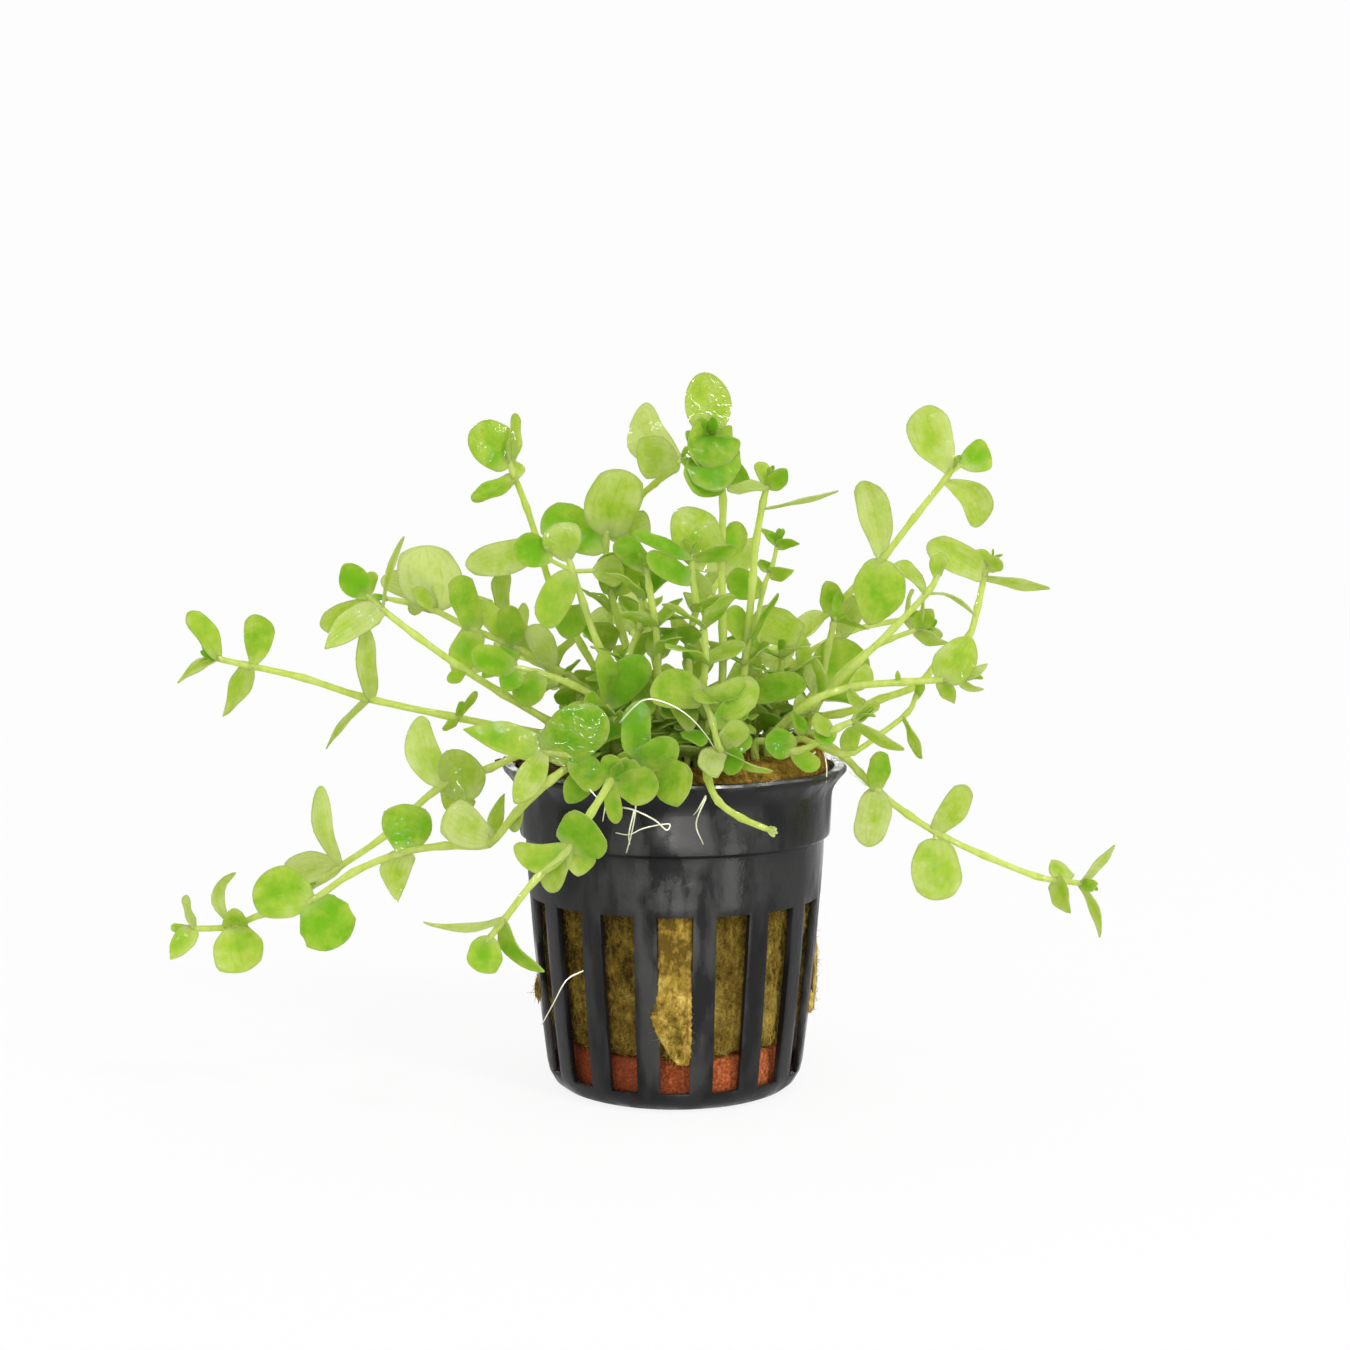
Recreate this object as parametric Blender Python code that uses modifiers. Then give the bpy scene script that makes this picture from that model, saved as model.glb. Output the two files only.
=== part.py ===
# Bacopa in a slotted net pot, in metres: the pot stands on z = 0, a clay ring and a rock-wool plug fill it,
# and cut shoots with opposite pairs of leaves are planted in the wool. The front is towards -Y.
import math
import random

import bmesh
import bpy
from mathutils import Matrix, Quaternion, Vector, noise
from mathutils.bvhtree import BVHTree

MM = 0.001
GAP = 0.3 * MM

# The pot, from its rim down
POT_HEIGHT = 49.4 * MM
RIM_RADIUS = 26.0 * MM
LIP_HEIGHT = 3.2 * MM
BAND_RADIUS = 23.7 * MM
BAND_FOOT = 38.6 * MM
WALL_TOP_RADIUS = 22.6 * MM
WALL_FOOT_RADIUS = 19.5 * MM
WALL_FOOT = 2.6 * MM
BASE_RADIUS = 16.4 * MM
WALL = 1.0 * MM
POT_STEPS = 28
RIM_BORE = 24.1 * MM

# The openings in its wall and base
SLOT_COUNT = 16
SLOT_TOP = 29.7 * MM
SLOT_FOOT = 3.1 * MM
SLOT_TOP_WIDTH = 5.3 * MM
SLOT_FOOT_WIDTH = 4.2 * MM
BASE_SLOT_COUNT = 8
BASE_SLOT_WIDTH = 2.4 * MM
BASE_SLOT_REACH = (6.0 * MM, 13.5 * MM)

CLAY_RADIUS = 17.4 * MM
CLAY_BORE = 6.5 * MM
CLAY_FOOT = WALL + 0.4 * MM
CLAY_TOP = 7.9 * MM

WOOL_FOOT = CLAY_TOP + GAP
WOOL_TOP = 50.4 * MM
WOOL_TILT = 0.075
WOOL_LUMPS = 0.8 * MM
FILLING_STEPS = 20

# The shoots
EYE = Vector((0, -373 * MM, 98 * MM))
STEM_SIDES = 4
STEM_TAPER = 0.72
STEM_RISE = 2.2 * MM
STEEP = 0.85
LEAF_SIDES = 6
LEAF_HALF_THICKNESS = 0.38 * MM
LEAF_NECK = 0.3 * MM
LEAF_DROP = 0.9 * MM
TIP_STEPS = (0, 2, -2, 4, -4, 6, -6)
TURN_STEPS = (0, 20, -20, 40, -40)
SHRINK_STEPS = (1.0, 0.85, 0.7)
PATH_STEPS = (0, 1.2, -1.2, 2.4, -2.4, 3.6, -3.6, 4.8, -4.8, 6, -6)
ROLL_STEPS = (0, 25, -25, 50, -50, 75)
SPREAD_STEPS = (0, -14, 14)

# Each shoot: where it is rooted in the wool (x, y), the points that its stem passes, and its leaves, in mm.
# Points are as seen from the front: across, up, and the depth behind the plane through the pot's axis.
# A leaf is the stem point it grows from, its tip (across, up, depth), its width, and its turn in degrees
# from facing the front. A pair is two opposite leaves that follow the stem: a stem point and a roll.
SHOOTS = [
    {
        "name": "shoot_far_left",
        "root": (-15, 3),
        "path": [(-24, 54.4, 3), (-34, 56.4, 1), (-46.8, 59.2, -1), (-56, 62.2, -2), (-64.8, 64.2, -3),
                 (-69.8, 65.3, -3)],
        "leaves": [(2, -46.9, 71.5, -4, 5.0, 55), (2, -53.0, 51.5, 2, 4.6, 66), (4, -63.3, 72.0, -5, 4.8, 15),
                   (4, -67.4, 56.2, -1, 4.6, 50), (5, -73.4, 72.2, -5, 4.6, 45), (5, -75.3, 61.6, -2, 3.6, 68),
                   (1, -30.0, 60.2, 4, 2.6, 50), (1, -34.4, 53.8, -3, 2.4, 40)],
    },
    {
        "name": "shoot_left",
        "root": (-13, -4),
        "path": [(-19, 55.6, -6), (-26, 59.8, -7), (-32.6, 64, -7), (-39, 68.6, -7), (-44.8, 73.2, -6),
                 (-46.8, 75.2, -6)],
        "leaves": [(4, -41.9, 83.8, -5, 4.0, 76), (4, -52.9, 66.4, -10, 5.0, 15), (4, -52.5, 70.2, -2, 5.4, 10),
                   (5, -48.6, 79.6, -9, 5.0, 0), (5, -45.4, 78.0, -3, 2.0, 20), (2, -34.2, 61.4, -8, 2.2, 20)],
    },
    {
        "name": "shoot_left_pale",
        "root": (-9, 6),
        "path": [(-13, 60.3, 5), (-19.5, 64.3, 4), (-24.6, 67.2, 4), (-31, 69.8, 4), (-37, 72.8, 5),
                 (-43.6, 74.3, 5)],
        "leaves": [(3, -32.4, 77.9, 2, 4.4, 0), (3, -32.7, 62.6, 1, 5.0, 5), (4, -42.9, 77.6, 9, 6.6, 5),
                   (4, -36.8, 82.4, 9, 7.2, 5), (4, -39.8, 75.6, 2, 2.8, 25), (2, -30.0, 73.3, 6, 3.8, 10),
                   (2, -25.3, 73.5, 1, 3.8, 5), (2, -23.0, 73.6, 6, 2.6, 50), (2, -29.2, 62.4, 2, 4.2, 10),
                   (1, -21.8, 71.2, 3, 5.0, 0)],
    },
    {
        "name": "shoot_low_left_short",
        "root": (-16, -8),
        "path": [(-22.5, 50.8, -12), (-28, 48.5, -12), (-35.8, 45.5, -11), (-44, 38.2, -10), (-51.6, 33, -9),
                 (-54.6, 30.8, -9)],
        "leaves": [(2, -38.7, 56.4, -9, 5.6, 5), (2, -28.4, 48.4, -16, 7.6, 0), (2, -31.6, 42.2, -8, 4.4, 10),
                   (4, -53.9, 45.8, -8, 4.2, 42), (4, -59.8, 33.4, -5, 6.0, 5)],
    },
    {
        "name": "shoot_low_left_long",
        "root": (-12, -13),
        "path": [(-15, 49.4, -20), (-18.8, 46.7, -23), (-24, 41.8, -23), (-28.4, 36.9, -22), (-35, 36.6, -21),
                 (-41.7, 35.5, -20), (-49, 32.5, -19), (-56, 27.8, -18), (-62.5, 26.2, -17), (-68, 24.1, -16),
                 (-74.2, 23.8, -15)],
        "leaves": [(3, -34.8, 41.8, -26, 6.0, 0), (3, -26.3, 44.5, -18, 3.4, 40), (2, -24.5, 39.0, -21, 2.2, 30),
                   (5, -41.2, 43.3, -22, 7.0, 0), (5, -42.0, 28.4, -18, 4.8, 15), (7, -64.2, 29.6, -21, 7.8, 0),
                   (7, -50.0, 23.0, -21, 7.0, 0), (9, -66.2, 32.5, -14, 4.2, 55), (9, -65.6, 16.9, -19, 7.4, 0),
                   (10, -75.0, 28.7, -13, 3.6, 68), (10, -77.1, 19.1, -17, 3.8, 20)],
    },
    {
        "name": "shoot_front_left",
        "root": (-7.5, -18),
        "path": [(-10, 46.2, -28), (-12.7, 41.7, -31), (-16.6, 35.6, -33), (-21, 31.7, -34), (-26.6, 24.5, -35),
                 (-29, 21.6, -35)],
        "leaves": [(2, -12.2, 40.8, -36, 7.8, 0), (2, -13.4, 33.1, -31, 4.0, 0), (2, -24.3, 36.1, -32, 4.8, 10),
                   (2, -18.8, 29.8, -31, 3.8, 10), (4, -38.2, 23.9, -34, 4.4, 62), (4, -20.3, 16.8, -35, 4.2, 60),
                   (5, -30.0, 17.0, -37, 5.0, 0), (0, -2.2, 45.3, -31, 5.6, 0), (0, -9.0, 40.1, -30, 2.4, 10),
                   (0, -7.3, 50.6, -29, 3.0, 10)],
    },
    {
        "name": "shoot_front_arch",
        "root": (-10, -15),
        "path": [(-10.8, 47.6, -25), (-12.8, 49.3, -26), (-16.5, 50.5, -25), (-20.6, 50.9, -23)],
        "leaves": [(3, -32.0, 53.4, -20, 5.4, 20), (3, -24.4, 42.3, -28, 5.2, 0), (3, -10.8, 56.2, -26, 8.0, 0),
                   (1, -16.4, 43.2, -24, 4.6, 10), (2, -11.4, 45.2, -28, 4.6, 5)],
    },
    {
        "name": "shoot_left_bend",
        "root": (-6, -9),
        "path": [(-8.9, 51, -17), (-8.9, 55, -18), (-10.8, 58.4, -17), (-15.5, 61.2, -15), (-20.5, 63, -13),
                 (-25, 64, -12)],
        "leaves": [(5, -31.0, 66.2, -14, 4.6, 10), (5, -26.0, 59.8, -12, 4.0, 10), (4, -24.2, 58.7, -9, 5.0, 10),
                   (2, -10.8, 66.0, -18, 3.2, 20), (2, -4.6, 65.4, -16, 5.4, 5)],
    },
    {
        "name": "shoot_upper_left",
        "root": (-4, 6),
        "path": [(-9, 59, 7), (-14, 67, 8), (-18.6, 76, 8), (-20.7, 83, 7), (-22.3, 88, 6), (-24.3, 93.2, 5),
                 (-25, 95.3, 5)],
        "leaves": [(5, -30.3, 88.6, 3, 4.8, 52), (5, -23.4, 94.9, 9, 2.0, 30), (6, -30.7, 98.6, 2, 6.8, 0),
                   (6, -24.0, 102.0, 6, 4.6, 58), (3, -31.5, 79.2, 9, 5.8, 5)],
    },
    {
        "name": "shoot_upper_left_leafy",
        "root": (-5, -4),
        "path": [(-8, 60, -6), (-11.5, 67, -7), (-13.8, 73.5, -7), (-15.7, 79.2, -7), (-16.2, 81, -7)],
        "leaves": [(3, -19.4, 69.6, -11, 5.2, 0), (3, -24.2, 82.8, -10, 5.0, 5), (3, -7.6, 78.6, -7, 4.8, 10),
                   (4, -17.4, 85.4, -10, 5.2, 0), (2, -17.0, 69.6, -3, 4.6, 10)],
    },
    {
        "name": "shoot_upper_middle",
        "root": (-2, 3),
        "path": [(-5, 60, 3), (-8, 69, 2), (-9.8, 76, 1), (-10.4, 82.8, 0), (-10, 84.6, 0)],
        "leaves": [(3, -19.4, 86.6, 3, 6.6, 5), (4, -7.6, 93.3, -4, 8.2, 0), (4, -3.4, 85.9, 4, 4.8, 10),
                   (2, -10.2, 82.3, -6, 4.8, 10), (2, -5.0, 80.5, -2, 4.4, 15)],
    },
    {
        "name": "shoot_top_left",
        "root": (0, 8),
        "path": [(-2, 60, 9), (-4.5, 72, 9), (-6, 82, 8), (-5.6, 88.6, 7), (-3, 91.5, 6), (-0.6, 93.3, 5),
                 (1, 95.4, 5)],
        "leaves": [(6, -4.9, 103.4, 6, 6.2, 0), (6, -5.9, 93.6, 0, 5.6, 0)],
        "pairs": [(1, 20)],
    },
    {
        "name": "shoot_top",
        "root": (5, -3),
        "path": [(7, 60, -5), (7.2, 70, -6), (7.0, 80, -6), (7.2, 89, -6), (6.6, 93.5, -6), (5.4, 97.3, -6),
                 (4.9, 99.6, -6)],
        "leaves": [(6, 4.5, 108.2, -7, 7.0, 0), (5, 1.0, 97.2, -11, 5.2, 20), (5, 8.8, 97.6, -3, 4.6, 20),
                   (4, 1.6, 93.0, -12, 5.4, 25), (4, 10.2, 94.0, -8, 5.0, 25), (2, -0.4, 87.3, -10, 7.0, 5),
                   (2, 9.4, 85.5, -3, 4.0, 15)],
    },
    {
        "name": "shoot_top_right",
        "root": (10, -4),
        "path": [(10.2, 60, -6), (10.9, 68, -6), (11.7, 77, -6), (12.2, 83, -6), (13.2, 88.7, -7), (14, 92, -7)],
        "leaves": [(5, 16.7, 93.6, -10, 3.2, 20), (5, 12.6, 94.4, -4, 2.6, 30), (4, 24.5, 90.5, -6, 3.8, 74),
                   (5, 8.0, 90.6, -9, 4.4, 55), (1, 15.3, 75.2, -9, 3.6, 70), (0, 20.0, 61.4, -8, 4.8, 15),
                   (1, 8.6, 73.0, -4, 3.6, 20)],
    },
    {
        "name": "shoot_thin",
        "root": (12, 3),
        "stem": 0.55,
        "path": [(12.8, 62, 3), (12.4, 70, 3), (13.4, 76, 2), (14.6, 79, 2), (15.5, 83, 2)],
        "leaves": [(4, 18.9, 83.0, 0, 2.2, 30), (4, 12.9, 85.0, 4, 2.4, 55), (3, 17.7, 78.4, -1, 3.2, 20),
                   (3, 12.8, 79.6, 5, 2.6, 40), (2, 8.2, 77.6, 5, 4.8, 5)],
    },
    {
        "name": "shoot_right_high",
        "root": (9, 8),
        "path": [(14.5, 63, 8), (19.6, 69.2, 7), (24.2, 73, 6), (28, 77, 5), (31.5, 80.6, 4), (36, 86.5, 3),
                 (40.7, 92.4, 2), (41.5, 93.8, 2)],
        "leaves": [(1, 12.0, 71.6, 3, 5.8, 5), (2, 22.6, 77.2, 3, 4.0, 10), (2, 29.3, 70.3, 9, 3.4, 55),
                   (4, 28.2, 92.2, 2, 5.8, 5), (4, 29.8, 70.4, -1, 7.8, 0), (7, 37.3, 103.1, 0, 7.0, 0),
                   (7, 47.0, 97.0, 6, 5.0, 5), (6, 45.8, 84.9, 3, 5.0, 5)],
    },
    {
        "name": "shoot_right_round",
        "root": (16, 3),
        "path": [(21.6, 60.6, 3), (23, 66.5, 3), (23.9, 70.4, 2)],
        "leaves": [(0, 27.7, 66.6, 6, 6.8, 5), (0, 18.0, 68.6, 1, 3.2, 30), (0, 18.9, 64.4, 6, 2.2, 20)],
    },
    {
        "name": "shoot_right_long",
        "root": (15, -6),
        "path": [(18, 55.5, -8), (22.5, 59.6, -8), (27.6, 64.6, -8), (33, 69.8, -8), (38.2, 75.4, -8),
                 (39.8, 78.4, -8)],
        "leaves": [(4, 32.1, 79.0, -10, 4.0, 50), (4, 45.1, 71.3, -7, 3.6, 76), (5, 39.2, 81.2, -9, 3.6, 20),
                   (4, 37.4, 70.4, -6, 2.0, 60)],
        "pairs": [(1, 60)],
    },
    {
        "name": "shoot_right_branch",
        "root": (18, -1),
        "stem": 0.65,
        "path": [(23, 60.6, -3), (28.5, 65.8, -4), (32.5, 68.1, -4), (37.2, 69.8, -4)],
        "leaves": [(3, 39.0, 72.9, -6, 3.4, 0), (3, 41.2, 67.2, -3, 3.2, 50)],
    },
    {
        "name": "shoot_right_fork",
        "root": (16, 9),
        "path": [(25, 56.8, 6), (31, 59, 5), (36.7, 61.2, 4), (40.4, 65.6, 3), (44.2, 68.4, 3), (45.6, 73, 3),
                 (46.7, 78.4, 3), (47.3, 79.8, 3)],
        "leaves": [(6, 38.3, 82.3, 0, 4.8, 5), (6, 56.5, 75.5, 6, 3.8, 58), (7, 49.2, 80.0, 0, 2.8, 10),
                   (7, 45.8, 81.2, 6, 2.4, 20)],
    },
    {
        "name": "shoot_right_flat",
        "root": (14, -10),
        "path": [(20.5, 58.6, -13), (27, 60.9, -13), (34.6, 61.6, -13), (41, 62, -12), (43.8, 62.3, -12)],
        "leaves": [(3, 44.7, 68.3, -13, 5.2, 5), (3, 42.3, 58.4, -11, 3.0, 30), (4, 47.2, 64.5, -14, 2.0, 40),
                   (4, 46.7, 60.4, -9, 1.8, 40), (2, 33.6, 63.4, -14, 1.6, 20), (1, 29.8, 63.6, -10, 3.2, 10),
                   (1, 28.9, 57.6, -15, 3.0, 30)],
    },
    {
        "name": "shoot_right_rim",
        "root": (18, -9),
        "stem": 0.65,
        "path": [(24.2, 50.9, -12), (27, 50.9, -12), (31, 53.6, -11), (35.2, 57, -10), (36.4, 59.4, -10)],
        "leaves": [(3, 36.4, 49.9, -8, 3.6, 64), (1, 27.2, 55.0, -13, 3.0, 10)],
    },
    {
        "name": "shoot_right_middle",
        "root": (12, -14),
        "path": [(18.5, 51, -18), (24.6, 54.6, -18), (27.8, 56, -18)],
        "leaves": [(2, 34.9, 51.6, -20, 3.8, 52), (1, 20.6, 55.6, -20, 3.4, 40), (2, 30.5, 58.6, -17, 2.6, 40)],
    },
    {
        "name": "shoot_low_right",
        "root": (19.5, -4),
        "path": [(25.4, 50.4, -6), (28, 47.8, -7), (31.2, 44.6, -7), (35.5, 41.3, -7), (40.3, 38.3, -7),
                 (47, 35.1, -7), (55, 31.9, -7), (59, 31.2, -7), (62.6, 30.7, -7)],
        "leaves": [(2, 30.4, 51.3, -9, 4.0, 25), (2, 29.3, 36.5, -11, 5.4, 0), (4, 44.1, 46.1, -9, 4.8, 15),
                   (4, 39.1, 27.9, -11, 7.4, 0), (7, 58.4, 34.2, -3, 4.4, 25), (7, 60.5, 26.2, -11, 4.0, 35),
                   (8, 66.1, 37.4, -8, 3.4, 56), (8, 65.8, 23.3, -5, 3.4, 56), (8, 64.1, 30.5, -9, 2.4, 0)],
    },
    {
        "name": "stem_stub",
        "root": (4, -19),
        "path": [(5, 46.8, -27), (6.6, 43.4, -29), (10, 40.9, -30), (14.9, 38.8, -30)],
        "leaves": [],
    },
    {
        "name": "shoot_front_middle",
        "root": (8, -14),
        "path": [(6.8, 51.2, -22), (5.6, 55.8, -22), (3.8, 60.2, -20)],
        "leaves": [(0, 3.4, 44.2, -28, 4.8, 0), (0, 10.3, 55.3, -24, 3.8, 10), (0, 14.8, 48.0, -25, 2.6, 60),
                   (2, -4.1, 60.8, -23, 5.8, 5), (2, 12.6, 60.6, -22, 5.4, 5)],
    },
    {
        "name": "shoot_front_low",
        "root": (-2, -18),
        "path": [(-5.2, 48.6, -24), (-6.6, 49.8, -25)],
        "leaves": [(1, 0.3, 52.3, -27, 4.8, 5), (0, 3.2, 44.0, -30, 6.2, 5), (1, -5.4, 58.6, -22, 4.2, 10)],
    },
    {
        "name": "shoot_middle_front",
        "root": (-1, -11),
        "path": [(-2.6, 58, -13), (-2.6, 66, -13), (-3, 70.5, -13), (-3.9, 76, -12), (-4.3, 79, -12)],
        "leaves": [],
        "pairs": [(1, 80), (2, 0), (4, 70)],
    },
    {
        "name": "shoot_middle_tall",
        "root": (2, -7),
        "path": [(2.1, 60, -10), (2.1, 68, -10), (3.2, 73, -10), (2.5, 78, -10), (2.7, 81.2, -10)],
        "leaves": [(4, -5.9, 84.5, -12, 4.6, 48), (4, 9.2, 81.7, -12, 3.8, 45), (3, -4.7, 80.7, -14, 4.2, 10)],
        "pairs": [(1, 10), (2, 80)],
    },
    {
        "name": "shoot_middle_low",
        "root": (3, -13),
        "path": [(4, 58, -16), (4.6, 65, -16), (4.4, 70.5, -16)],
        "leaves": [],
        "pairs": [(1, 0), (2, 90)],
    },
    {
        "name": "shoot_middle_left",
        "root": (-9, -5),
        "path": [(-7.6, 60, -9), (-7, 65.5, -10), (-5.3, 70, -10), (-5, 75, -10)],
        "leaves": [],
        "pairs": [(1, 0), (2, 90), (3, 10)],
    },
    {
        "name": "shoot_middle_back",
        "root": (-11, 1),
        "path": [(-10.5, 60, 2), (-10.2, 67, 2), (-9.6, 73, 2)],
        "leaves": [],
        "pairs": [(0, 0), (1, 90), (2, 10)],
    },
    {
        "name": "shoot_middle_right",
        "root": (13, -2),
        "path": [(15.6, 58, -1), (16, 62.5, -1), (16.2, 66, -1)],
        "leaves": [],
        "pairs": [(1, 0), (2, 80)],
    },
]

# The shoots behind, which lean away from the front
BACK_COUNT = 6
BACK_FIRST_AZIMUTH = 28
BACK_LAST_AZIMUTH = 152
BACK_ROOT_RADII = (12 * MM, 15 * MM)
BACK_REACHES = (30 * MM, 38 * MM, 26 * MM)
BACK_HEIGHTS = (16 * MM, 10 * MM, 22 * MM)
BACK_NODES = 3
BACK_STEM = 0.75 * MM
BACK_STEPS = (0, 5, -5, 10, -10, 15, -15, 20, -20)


def seen(across, up, depth):
    """The point, in metres, that the eye in front sees at (across, up) mm, depth mm behind the pot's axis."""
    reach = 1 - depth * MM / EYE.y
    return Vector((across * MM * reach, depth * MM, EYE.z + (up * MM - EYE.z) * reach))


def material(name, colour, roughness):
    made = bpy.data.materials.new(name)
    made.use_nodes = True
    shader = made.node_tree.nodes["Principled BSDF"]
    shader.inputs["Base Color"].default_value = (*colour, 1)
    shader.inputs["Roughness"].default_value = roughness
    shader.inputs["Metallic"].default_value = 0
    return made


def collection(name, parent, hidden=False):
    made = bpy.data.collections.new(name)
    parent.children.link(made)
    made.hide_render = hidden
    return made


def add_object(name, mesh, home, finish=None):
    made = bpy.data.objects.new(name, mesh)
    home.objects.link(made)
    if finish:
        made.data.materials.clear()
        made.data.materials.append(finish)
    return made


def mesh_of(bm, name):
    bmesh.ops.recalc_face_normals(bm, faces=bm.faces)
    mesh = bpy.data.meshes.new(name)
    bm.to_mesh(mesh)
    bm.free()
    return mesh


def helper(name, mesh, home):
    made = add_object(name, mesh, home)
    made.hide_render = True
    made.display_type = "WIRE"
    return made


def turned(name, profile, steps, home, finish):
    """A solid of revolution: the profile's points (radius, height) run down its outer side."""
    bm = bmesh.new()
    points = [bm.verts.new((radius, 0, height)) for radius, height in profile]
    for first, second in zip(points, points[1:]):
        bm.edges.new((first, second))
    if profile[0][0] > 0:
        bm.edges.new((points[-1], points[0]))
    mesh = bpy.data.meshes.new(name)
    bm.to_mesh(mesh)
    bm.free()
    made = add_object(name, mesh, home, finish)
    screw = made.modifiers.new("Turn", "SCREW")
    screw.steps = steps
    screw.render_steps = steps
    screw.use_merge_vertices = True
    screw.merge_threshold = 0.00001
    screw.use_smooth_shade = True
    return made


def applied(obj):
    """The object's mesh with its modifiers applied, in place of the modifiers."""
    graph = bpy.context.evaluated_depsgraph_get()
    mesh = bpy.data.meshes.new_from_object(obj.evaluated_get(graph))
    obj.modifiers.clear()
    obj.data = mesh
    return mesh


def wall_radius(height):
    """The outer radius of the slotted wall at a height."""
    share = (height - WALL_FOOT) / (BAND_FOOT - WALL_FOOT)
    return WALL_FOOT_RADIUS + share * (WALL_TOP_RADIUS - WALL_FOOT_RADIUS)


def pot_profile():
    lip_foot = POT_HEIGHT - LIP_HEIGHT
    outer = [
        (RIM_RADIUS, POT_HEIGHT),
        (RIM_RADIUS - 0.3 * MM, lip_foot + 0.5 * MM),
        (BAND_RADIUS, lip_foot - 0.4 * MM),
        (BAND_RADIUS - 0.15 * MM, BAND_FOOT + 0.6 * MM),
        (WALL_TOP_RADIUS, BAND_FOOT),
        (WALL_FOOT_RADIUS, WALL_FOOT),
        (BASE_RADIUS, 0),
        (0, 0),
    ]
    inner = [
        (0, WALL),
        (WALL_FOOT_RADIUS - WALL - 0.6 * MM, WALL),
        (WALL_TOP_RADIUS - WALL, BAND_FOOT),
        (BAND_RADIUS - WALL, BAND_FOOT + 1.2 * MM),
        (BAND_RADIUS - WALL, lip_foot),
        (RIM_BORE, POT_HEIGHT),
    ]
    return inner + outer


def add_wedge(bm, low, high, foot_width, top_width, angle):
    """A cutter that is as wide as one opening, from the corner (radius, height) low to the corner high."""
    made = bmesh.ops.create_cube(bm, size=1)["verts"]
    for vert in made:
        width = top_width if vert.co.z > 0 else foot_width
        radius = high[0] if vert.co.x > 0 else low[0]
        height = high[1] if vert.co.z > 0 else low[1]
        vert.co = Vector((radius, vert.co.y * width, height))
    bmesh.ops.rotate(bm, verts=made, cent=(0, 0, 0), matrix=Matrix.Rotation(angle, 3, "Z"))


def net_pot(home, cutters):
    pot = turned("net_pot", pot_profile(), POT_STEPS, home, material("pot_plastic", (0.03, 0.03, 0.032), 0.35))
    bm = bmesh.new()
    for number in range(SLOT_COUNT):
        angle = math.tau * number / SLOT_COUNT - math.pi / 2
        low = (BASE_RADIUS, SLOT_FOOT)
        high = (RIM_RADIUS, SLOT_TOP)
        add_wedge(bm, low, high, SLOT_FOOT_WIDTH, SLOT_TOP_WIDTH, angle)
    for number in range(BASE_SLOT_COUNT):
        angle = math.tau * (number + 0.5) / BASE_SLOT_COUNT
        low = (BASE_SLOT_REACH[0], -WALL)
        high = (BASE_SLOT_REACH[1], 2 * WALL)
        add_wedge(bm, low, high, BASE_SLOT_WIDTH, BASE_SLOT_WIDTH, angle)
    openings = helper("pot_openings", mesh_of(bm, "pot_openings"), cutters)
    cut = pot.modifiers.new("Openings", "BOOLEAN")
    cut.operation = "DIFFERENCE"
    cut.solver = "EXACT"
    cut.object = openings
    return pot


def clay_ring(home):
    profile = [
        (CLAY_RADIUS - 0.6 * MM, CLAY_TOP),
        (CLAY_RADIUS, CLAY_TOP - 0.6 * MM),
        (CLAY_RADIUS - 0.4 * MM, CLAY_FOOT),
        (CLAY_BORE, CLAY_FOOT),
        (CLAY_BORE, CLAY_TOP),
    ]
    return turned("clay_ring", profile, FILLING_STEPS, home, material("clay", (0.45, 0.09, 0.035), 0.8))


def rock_wool(home):
    profile = [
        (0, WOOL_TOP),
        (10 * MM, WOOL_TOP),
        (19.5 * MM, WOOL_TOP),
        (RIM_BORE - 2 * GAP, POT_HEIGHT),
        (BAND_RADIUS - WALL - 2 * GAP, POT_HEIGHT - LIP_HEIGHT),
        (BAND_RADIUS - WALL - 2 * GAP, BAND_FOOT + 2 * MM),
        (WALL_TOP_RADIUS - WALL - 2 * GAP, BAND_FOOT - 1 * MM),
        (wall_radius(WOOL_FOOT) - WALL - 3 * GAP, WOOL_FOOT),
        (0, WOOL_FOOT),
    ]
    wool = turned("rock_wool", profile, FILLING_STEPS, home, material("rock_wool", (0.3, 0.22, 0.05), 0.95))
    mesh = applied(wool)
    for vert in mesh.vertices:
        if vert.co.z > POT_HEIGHT + 0.1 * MM:
            lump = noise.noise(Vector((vert.co.x, vert.co.y, 0)) * 130)
            vert.co.z += WOOL_TILT * vert.co.x + WOOL_LUMPS * lump
    return wool


def stem_section(home):
    """The stem's outline, which is swept along its path."""
    curve = bpy.data.curves.new("stem_section", "CURVE")
    curve.dimensions = "2D"
    spline = curve.splines.new("POLY")
    spline.points.add(STEM_SIDES - 1)
    for number, point in enumerate(spline.points):
        angle = math.tau * number / STEM_SIDES
        point.co = (math.cos(angle), math.sin(angle), 0, 1)
    spline.use_cyclic_u = True
    return helper("stem_section", curve, home)


def stem_object(name, points, radius, section, home, finish):
    curve = bpy.data.curves.new(name, "CURVE")
    curve.dimensions = "3D"
    curve.bevel_mode = "OBJECT"
    curve.bevel_object = section
    curve.use_fill_caps = True
    spline = curve.splines.new("POLY")
    spline.points.add(len(points) - 1)
    for number, (point, place) in enumerate(zip(spline.points, points)):
        point.co = (*place, 1)
        point.radius = radius * (1 - (1 - STEM_TAPER) * number / (len(points) - 1))
    swept = bpy.data.objects.new(name + "_curve", curve)
    home.objects.link(swept)
    bpy.context.view_layer.update()
    graph = bpy.context.evaluated_depsgraph_get()
    mesh = bpy.data.meshes.new_from_object(swept.evaluated_get(graph))
    bm = bmesh.new()
    bm.from_mesh(mesh)
    bmesh.ops.remove_doubles(bm, verts=bm.verts, dist=0.00001)
    bpy.data.objects.remove(swept)
    return add_object(name, mesh_of(bm, name), home, finish)


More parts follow.
